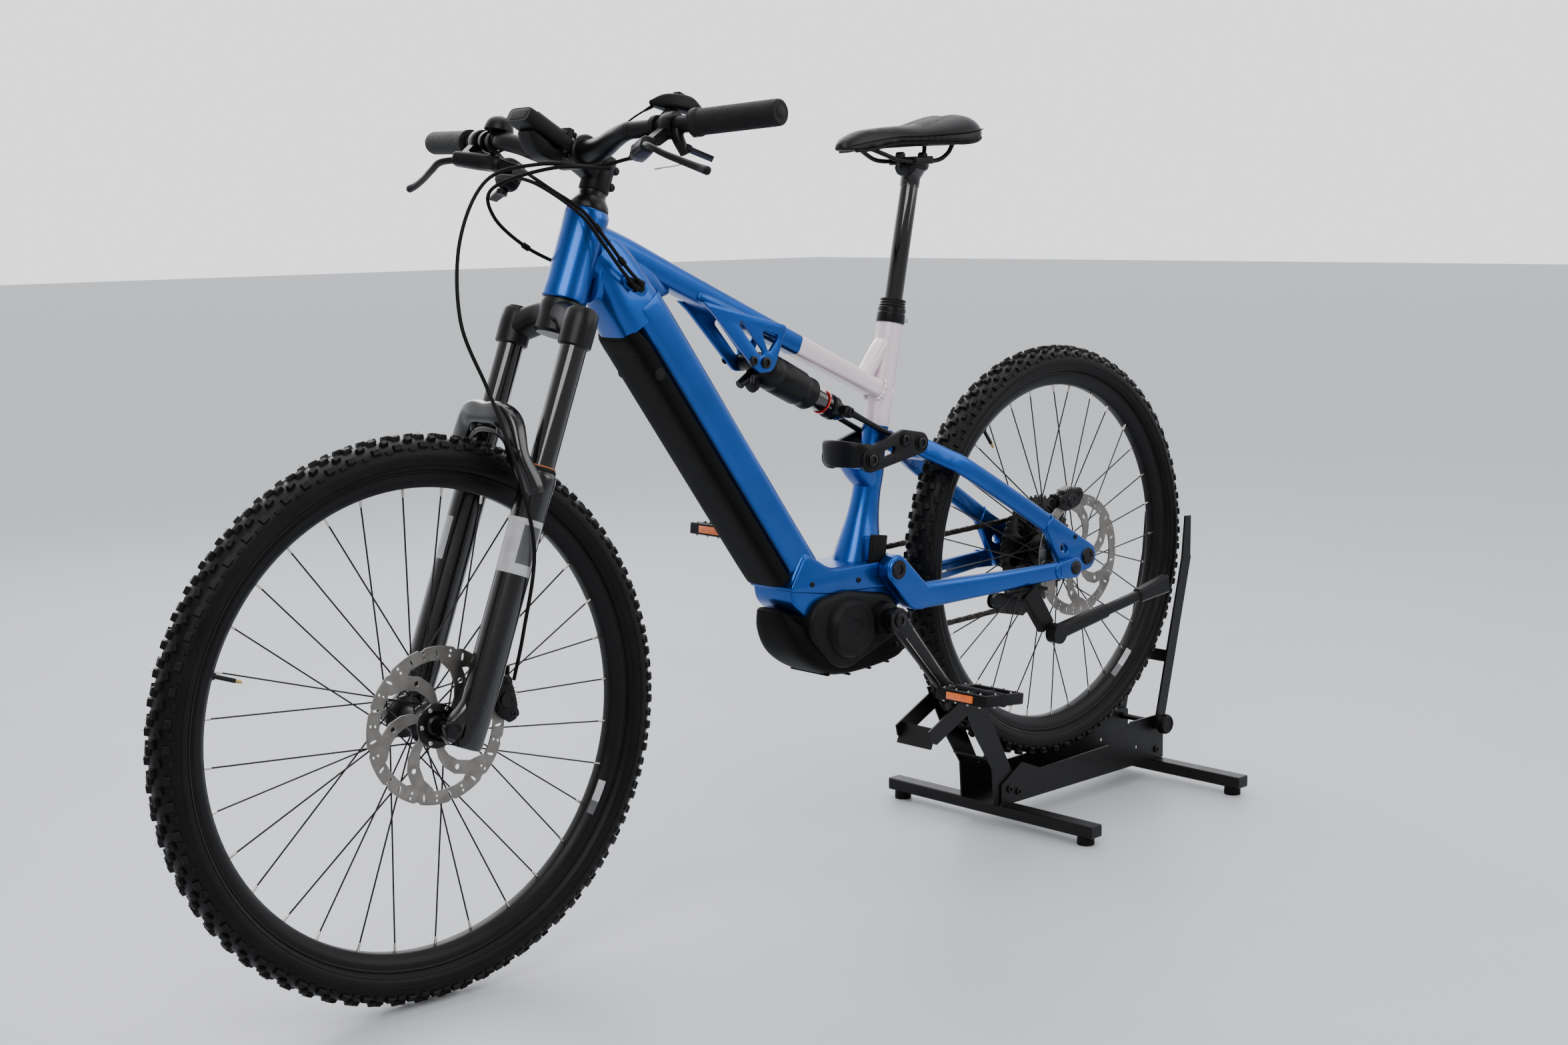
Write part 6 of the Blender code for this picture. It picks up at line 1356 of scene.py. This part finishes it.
def build_control_pad():
    remote = Piece("remote_shape", "steering", STEER)
    remote.loft([(-0.06, -0.164, 0.179, 0.02, 0.006, 3.2), (-0.052, -0.178, 0.1825, 0.026, 0.018, 4.0),
                 (-0.044, -0.193, 0.1845, 0.027, 0.02, 4.4), (-0.035, -0.208, 0.184, 0.024, 0.02, 4.0),
                 (-0.029, -0.219, 0.18, 0.018, 0.012, 3.0)], PLASTIC, side=(0.8, 0.5, 0.0), dome=0.002)
    remote.loft([(-0.056, -0.186, 0.156, 0.009, 0.014, 2.8), (-0.04, -0.19, 0.184, 0.01, 0.016, 2.8)], PLASTIC)
    clamp(remote, -0.188, 0.0118, 0.0154, PLASTIC)
    lead = smooth([(-0.06, -0.165, 0.176), (-0.064, -0.14, 0.162), (-0.064, -0.105, 0.142), (-0.059, -0.08, 0.128),
                   (-0.054, -0.064, 0.118)], 8)
    remote.tube(lead, 0.0013, RUBBER, sides=10)
    remote.rod(lead[0], lead[4], 0.0026, RUBBER, radius_end=0.0015)
    remote.done("control_pad", slot="plastic")
    key = Piece("control_button_shape", "control_button", STEER)
    key.box((0.0128, 0.0128, 0.0056), (-0.044, -0.193, 0.1952), RUBBER, bevel=0.0018, segments=3)
    key.done("control_button", slot="rubber")


HOSE_R = 0.0025
ROUTES = {"front_brake_hose": [(-0.0445, -0.1245, 0.1143), (-0.056, -0.07, 0.102), (-0.1, -0.01, 0.09),
                               (-0.15, 0.02, 0.05), (-0.17, 0.01, -0.04), (-0.15, -0.01, -0.14), (-0.1, -0.03, -0.21),
                               (-0.083, -0.056, -0.25), (-0.056, -0.096, -0.32), (-0.01, -0.0985, -0.4),
                               (0.015, -0.085, -0.5), (0.036, -0.062, -0.56)],
          "rear_brake_hose": [(-0.0445, 0.1245, 0.1143), (-0.07, 0.08, 0.104), (-0.09, 0.03, 0.085),
                              (-0.08, -0.02, 0.064), (-0.038, -0.045, 0.048), (0.008, -0.046, 0.026),
                              (0.05, -0.045, 0.004), (0.085, -0.04, -0.008)],
          "shift_cable": [(-0.03, 0.148, 0.102), (-0.08, 0.11, 0.085), (-0.1, 0.05, 0.076), (-0.092, -0.01, 0.065),
                          (-0.044, -0.049, 0.042), (0.002, -0.0505, 0.018), (0.044, -0.048, -0.004),
                          (0.079, -0.04, -0.016)], "dropper_cable": [(-0.05, -0.1, 0.1), (-0.09, -0.03, 0.088),
                                                                     (-0.125, 0.04, 0.05), (-0.1, 0.06, 0.02),
                                                                     (-0.04, 0.06, 0.0), (0.03, 0.052, -0.006),
                                                                     (0.082, 0.04, -0.012)],}


def build_cables():
    """Hoses and cables swept along their routes and left unattached; the rear brake hose and the dropper cable each
    carry two rubber clips.
    """
    for name, knots in ROUTES.items():
        line = Piece(name + "_shape", "steering", STEER)
        path = smooth(knots, 10)
        line.tube(path, HOSE_R, RUBBER, sides=14)
        if name in ("rear_brake_hose", "dropper_cable"):
            for share in (0.66, 0.82):
                index = int(share * len(path))
                here, along = path[index], (path[index + 1] - path[index - 1]).normalized()
                line.rod(here - along * 0.006, here + along * 0.006, 0.0042, RUBBER, chamfer=0.0012, steps=20)
        if name != "front_brake_hose":
            line.lathe([(0.0, 0.0), (0.0028, 0.0), (0.0052, 0.01), (0.006, 0.011), (0.0, 0.011)],
                       path[-1] - (path[-1] - path[-3]).normalized() * 0.009, path[-1] - path[-3], RUBBER, steps=20)
        hidden = line.done(name, slot="rubber", riding=False)
        if name == "front_brake_hose":
            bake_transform(hidden)
        else:
            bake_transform(hidden)


def build_dropper_wire():
    """Bare wire end below the right grip and the bracket that carries its lever."""
    extra = Piece("dropper_wire", "steering", STEER)
    start = Vector((-0.04, -0.238, 0.105))
    wire = smooth([start, start + Vector((-0.012, 0.003, -0.008)), start + Vector((-0.03, 0.008, -0.018))], 8)
    extra.tube(wire, 0.0008, SILVER, sides=8)
    extra.rod(wire[-1], wire[-1] + (wire[-1] - wire[-3]).normalized() * 0.008, 0.0013, SILVER, steps=12,
              chamfer=0.0003)
    extra.loft([(*bar(-0.22), 0.016, 0.018, 3.0), (*(bar(-0.226) + Vector((0.0, 0.0, -0.016))), 0.014, 0.015, 3.0),
                (-0.042, -0.233, 0.117, 0.012, 0.012, 2.8)], SATIN, side=FORE, dome=0.002)
    extra.done(slot="steel")


# ---- saddle and post -----------------------------------------------------------------
STATIONS = [(0.77, 0.007, 1.101, 0.01), (0.774, 0.014, 1.107, 0.018), (0.786, 0.019, 1.115, 0.026),
            (0.82, 0.022, 1.126, 0.035), (0.87, 0.029, 1.131, 0.031), (0.915, 0.043, 1.133, 0.031),
            (0.95, 0.0575, 1.14, 0.038), (0.98, 0.067, 1.147, 0.046), (1.005, 0.07, 1.151, 0.047),
            (1.022, 0.065, 1.148, 0.038), (1.03, 0.054, 1.142, 0.028), (1.033, 0.04, 1.137, 0.016)]


def saddle_ring(x, half, top, thick, shrink=0.0, steps=48):
    """Section with a crowned top, a soft shoulder and a drooping skirt; the middle of the top is dished."""
    ring = []
    for step in range(steps):
        across, high = math.cos(TAU * step / steps), math.sin(TAU * step / steps)
        y = (half - shrink) * math.copysign(abs(across) ** 0.72, across)
        z = top - thick / 2 + (thick / 2 - shrink) * math.copysign(abs(high) ** 0.8, high)
        z -= 0.3 * abs(across) ** 3 * thick
        if high > 0.0:
            z -= 0.003 * max(0.0, 1.0 - (abs(y) / 0.011) ** 2) * min(1.0, max(0.0, (x - 0.8) / 0.05)) * high
        ring.append(Vector((x, y, z)))
    return ring


def swell(cover):
    """Let the pad's skin puff out a little under pressure as cloth, then keep that shape."""
    bpy.context.view_layer.objects.active = cover
    remesh = cover.modifiers.new("Even", "REMESH")
    remesh.mode = "VOXEL"
    remesh.voxel_size = 0.0045
    remesh.use_smooth_shade = True
    graph = bpy.context.evaluated_depsgraph_get()
    even = bpy.data.meshes.new_from_object(cover.evaluated_get(graph))
    cover.modifiers.remove(remesh)
    dummy = bpy.data.objects.new("pad_sim", even)
    bpy.context.scene.collection.objects.link(dummy)
    before = [vert.co.copy() for vert in even.vertices]
    cloth = dummy.modifiers.new("Cloth", "CLOTH")
    cloth.settings.use_pressure = True
    cloth.settings.uniform_pressure_force = 4.0
    cloth.settings.quality = 6
    cloth.settings.mass = 0.3
    cloth.settings.tension_stiffness = 40.0
    cloth.settings.bending_stiffness = 4.0
    cloth.settings.effector_weights.gravity = 0.0
    group = dummy.vertex_groups.new(name="hold")
    low = [index for index, co in enumerate(before) if saddle_underside(co)]
    group.add(low, 1.0, "REPLACE")
    cloth.settings.vertex_group_mass = "hold"
    for step in range(1, SIM_FRAMES + 1):
        bpy.context.scene.frame_set(step)
    graph = bpy.context.evaluated_depsgraph_get()
    swollen = bpy.data.meshes.new_from_object(dummy.evaluated_get(graph))
    for vert, start in zip(swollen.vertices, before):
        move = vert.co - start
        if move.length > PAD_PUFF:
            vert.co = start + move.normalized() * PAD_PUFF
    bpy.context.scene.frame_set(1)
    bpy.data.objects.remove(dummy, do_unlink=True)
    for finish in (LEATHER, PERFORATED):
        if finish.name not in swollen.materials:
            swollen.materials.append(finish)
    old = cover.data
    cover.data = swollen
    bpy.data.meshes.remove(old)
    swollen.polygons.foreach_set("use_smooth", [True] * len(swollen.polygons))
    rounder = cover.modifiers.new("Rounder", "SUBSURF")
    rounder.levels = 1
    rounder.render_levels = 1


def build_saddle():
    pad = Piece("saddle_shape", "seat")
    stations = smooth(STATIONS, 5)
    rings = [saddle_ring(*station, shrink=0.0022) for station in stations]
    pad.skin(rings, LEATHER)
    cover = pad.done("saddle", slot="saddle_cover", sharp=70.0)
    swell(cover)
    mesh = cover.data
    flip = BIKE.inverted()
    for face in mesh.polygons:
        spot = flip @ face.center
        face.material_index = 1 if (spot.x > 0.925 and abs(spot.y) < 0.03 and face.normal.z > 0.8) else 0


def build_saddle_trim():
    """Seam and lower edge along both sides, and the shell underneath."""
    stations = smooth(STATIONS, 5)
    trim = Piece("saddle_trim", "seat")
    for side in (-1, 1):
        seam = []
        for x, half, top, thick in stations[10:-9]:
            ring = saddle_ring(x, half, top, thick)
            seam.append(ring[22] if side < 0 else ring[2])
        trim.tube(seam, 0.0011, RUBBER, sides=8)
        edge = []
        for x, half, top, thick in stations[11:-9]:
            ring = saddle_ring(x, half, top, thick, shrink=0.002)
            edge.append(ring[27] if side < 0 else ring[45])
        trim.tube(edge, 0.0024, PLASTIC, sides=10)
    trim.loft([(0.79, 0.0, 1.093, 0.022, 0.006, 2.8), (0.86, 0.0, 1.0985, 0.038, 0.006, 2.8),
               (0.94, 0.0, 1.103, 0.088, 0.006, 2.8), (0.996, 0.0, 1.105, 0.112, 0.006, 2.8),
               (1.016, 0.0, 1.111, 0.092, 0.005, 2.8)], PLASTIC, dome=0.002)
    trim.done(slot="saddle_cover")


def saddle_underside(co):
    """True for points of the pad that sit on its shell and so hold still."""
    spot = BIKE.inverted() @ co
    x = min(max(spot.x, STATIONS[0][0]), STATIONS[-1][0])
    for (x0, _, t0, h0), (x1, _, t1, h1) in zip(STATIONS, STATIONS[1:]):
        if x0 <= x <= x1:
            share = (x - x0) / (x1 - x0)
            middle = t0 - h0 / 2 + (t1 - h1 / 2 - t0 + h0 / 2) * share
            return spot.z < middle - 0.004
    return False


def build_post():
    """Sliding post, its head and clamp, and the two saddle rails."""
    post = Piece("dropper_post_shape", "seat")
    post.lathe([(0.0, -0.06), (0.0138, -0.06), (0.0141, -0.059), (0.0141, 0.21), (0.015, 0.211), (0.0152, 0.225),
                (0.019, 0.233), (0.0205, 0.237), (0.0, 0.237)], SEAT_TOP, SEAT_DIR, STANCHION, steps=64)
    top = seat(0.236)
    post.loft([(top.x - 0.02, 0.0, top.z + 0.0, 0.03, 0.02, 2.8), (top.x - 0.008, 0.0, top.z + 0.0065, 0.036, 0.026,
                                                                   3.2), (top.x + 0.012, 0.0, top.z + 0.008, 0.036,
                                                                          0.025, 3.2), (top.x + 0.023, 0.0,
                                                                                        top.z + 0.0075, 0.03, 0.018,
                                                                                        2.8)], SATIN, dome=0.002)
    for side in (-1, 1):
        knots = [(0.826, side * 0.01, 1.096), (0.85, side * 0.018, 1.087), (0.876, side * 0.022, 1.079),
                 (0.91, side * 0.022, 1.0775), (0.962, side * 0.022, 1.0785), (0.984, side * 0.025, 1.089),
                 (0.992, side * 0.029, 1.104)]
        post.tube(smooth(knots, 6), 0.0035, SATIN, sides=14)
    post.box((0.042, 0.057, 0.012), (0.929, 0.0, 1.0785), SATIN, turn=math.radians(-2.0), bevel=0.003, segments=3)
    for fore in (-0.024, 0.026):
        post.rod((0.929 + fore, 0.0, 1.066), (0.929 + fore, 0.0, 1.09), 0.003, ANODISED)
        post.rod((0.929 + fore, -0.006, 1.086), (0.929 + fore, 0.006, 1.086), 0.0055, ANODISED)
    post.done("dropper_post", slot="black_metal")


# ---- stand and carried-over nodes -------------------------------------------------------
def build_stand_knob():
    knob = Piece("stand_knob_shape", "knob")
    centre = (STAND_KNOB[0], -0.045, STAND_KNOB[1])
    knob.lathe([(0.0, 0.0186), (0.011, 0.0186), (0.0125, 0.02), (0.0146, 0.02), (0.0166, 0.018), (0.0166, 0.006),
                (0.015, 0.0045), (0.0082, 0.003), (0.008, 0.0), (0.0, 0.0)], centre, (0, -1, 0), PLASTIC, steps=48)
    for step in range(24):
        rib = polar(centre[0], centre[2], 0.0165, TAU * step / 24)
        knob.rod(at(rib, centre[1] - 0.007), at(rib, centre[1] - 0.0172), 0.001, PLASTIC, steps=8, chamfer=0.0003)
    knob.done("stand_knob", slot="plastic")


def build_stand_screws():
    screws = Piece("stand_screws", "stand")
    for side in (-1, 1):
        for x, z in ((1.118, 0.06), (1.14, 0.052), (1.52, 0.052)):
            screws.bolt((x, side * 0.04, z), (0, side, 0), 0.006, 0.0034, POWDER)
        for x in (1.118, 1.525):
            screws.lathe([(0.0128, 0.0), (0.0138, 0.0), (0.0142, 0.003), (0.0138, 0.012), (0.0128, 0.012)],
                         (x, side * 0.198, 0.0), UPWARD, RUBBER, closed=True)
    screws.done(slot="black_paint")


CARRIED = {"stand_front_bar": (POWDER, 0.0016), "stand_rear_bar": (POWDER, 0.0016), "stand_channel": (POWDER, 0.0008),
           "stand_cradle": (POWDER, 0.0008), "stand_arms": (POWDER, 0.001), "kickstand_bracket": (SATIN, 0.0016),
           "kickstand_leg": (SATIN, 0.002), "derailleur": (SATIN, 0.0016), "derailleur_cage": (ANODISED, 0.0005),
           "brake_left": (ANODISED, 0.0012), "brake_right": (ANODISED, 0.0012), "shift_paddle": (PLASTIC, 0.0008),
           "dropper_lever": (ANODISED, 0.0008),}


def finish_carried():
    """Bevels, smooth shading and a material for the nodes that keep their own mesh."""
    for name, (finish, width) in CARRIED.items():
        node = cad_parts[name]
        node.data.materials.clear()
        node.data.materials.append(finish)
        bevel = node.modifiers.new("Edges", "BEVEL")
        bevel.width = width
        bevel.segments = 2
        bevel.limit_method = "ANGLE"
        bevel.angle_limit = math.radians(32.0)
        bevel.harden_normals = False
        for face in node.data.polygons:
            face.use_smooth = True
        smoother = node.modifiers.new("Smooth", "EDGE_SPLIT")
        smoother.split_angle = math.radians(36.0)


build_camera()
build_lamps()
build_world()
build_floor()
build_frame()
build_battery_cover()
build_motor()
build_skid_plate()
build_charge_cover()
build_seat_collar()
build_chainstay()
build_main_pivot()
build_seatstay()
build_rocker()
build_shock_body()
build_shock_shaft()
build_crank("crank_left", -1, 1)
build_crank("crank_right", 1, -1)
build_pedal("pedal_left", -1, 1)
build_pedal("pedal_right", 1, -1)
build_chainring()
build_cassette()
build_chain()
build_wheel("front", (FRONT_AXLE[0], 0.0, FRONT_AXLE[1]), rim_r=0.2985, flanges=(-0.027, 0.034),
            hub=[(0.012, 0.055), (0.012, 0.04), (0.0265, 0.0375), (0.0275, 0.036), (0.0275, 0.032), (0.0265, 0.0305),
                 (0.017, 0.027), (0.0155, 0.01), (0.0155, -0.012), (0.0165, -0.02), (0.0285, -0.0235),
                 (0.0292, -0.025), (0.0292, -0.0295), (0.0285, -0.0305), (0.022, -0.038), (0.017, -0.0405),
                 (0.011, -0.046), (0.011, -0.055)], ends=(-0.055, 0.055), space=STEER, valve_angle=181.0,
            labels=((4.0, 9.5, LABEL), (9.5, 13.0, DARK_LABEL)))
build_tyre("front", (FRONT_AXLE[0], 0.0, FRONT_AXLE[1]), rim_r=0.2985, tyre_r=0.3675, space=STEER)
build_wheel("rear", at(REAR_AXLE), rim_r=0.2795, flanges=(-0.034, 0.023),
            hub=[(0.011, 0.0655), (0.012, 0.064), (0.012, 0.029), (0.0285, 0.0265), (0.029, 0.025), (0.029, 0.0205),
                 (0.0285, 0.0195), (0.019, 0.016), (0.0165, 0.0), (0.017, -0.027), (0.0285, -0.0305), (0.029, -0.032),
                 (0.029, -0.0365), (0.0285, -0.0375), (0.022, -0.048), (0.017, -0.0565), (0.011, -0.062),
                 (0.011, -0.0655)], ends=(-0.0655, 0.0655), space=BIKE, valve_angle=128.0,
            labels=((44.0, 51.0, LABEL), (51.0, 56.0, DARK_LABEL)))
build_tyre("rear", at(REAR_AXLE), rim_r=0.2795, tyre_r=0.346, space=BIKE)
build_rotor("front", (FRONT_AXLE[0], FRONT_ROTOR_Y, FRONT_AXLE[1]), STEER)
build_rotor("rear", (REAR_AXLE[0], REAR_ROTOR_Y, REAR_AXLE[1]), BIKE)
build_caliper("front_caliper", "fork_lowers", (0.04, -0.043, -0.586), FRONT_ROTOR_Y, math.radians(58.0), STEER, -1)
build_caliper("rear_caliper", "seatstay", (1.246, -0.052, 0.53), REAR_ROTOR_Y, math.radians(-13.0), BIKE, -1)
build_fork_upper()
build_fork_lowers()
build_stem()
build_handlebar()
for end, side in (("left", -1), ("right", 1)):
    build_grip("grip_" + end, side)
    build_brake_lever("brake_lever_" + end, side)
    build_brake_fittings("brake_" + end, side)
build_bell()
build_display()
build_shifter()
build_control_pad()
build_cables()
build_dropper_wire()
build_saddle()
build_saddle_trim()
build_post()
build_stand_knob()
build_stand_screws()
finish_carried()
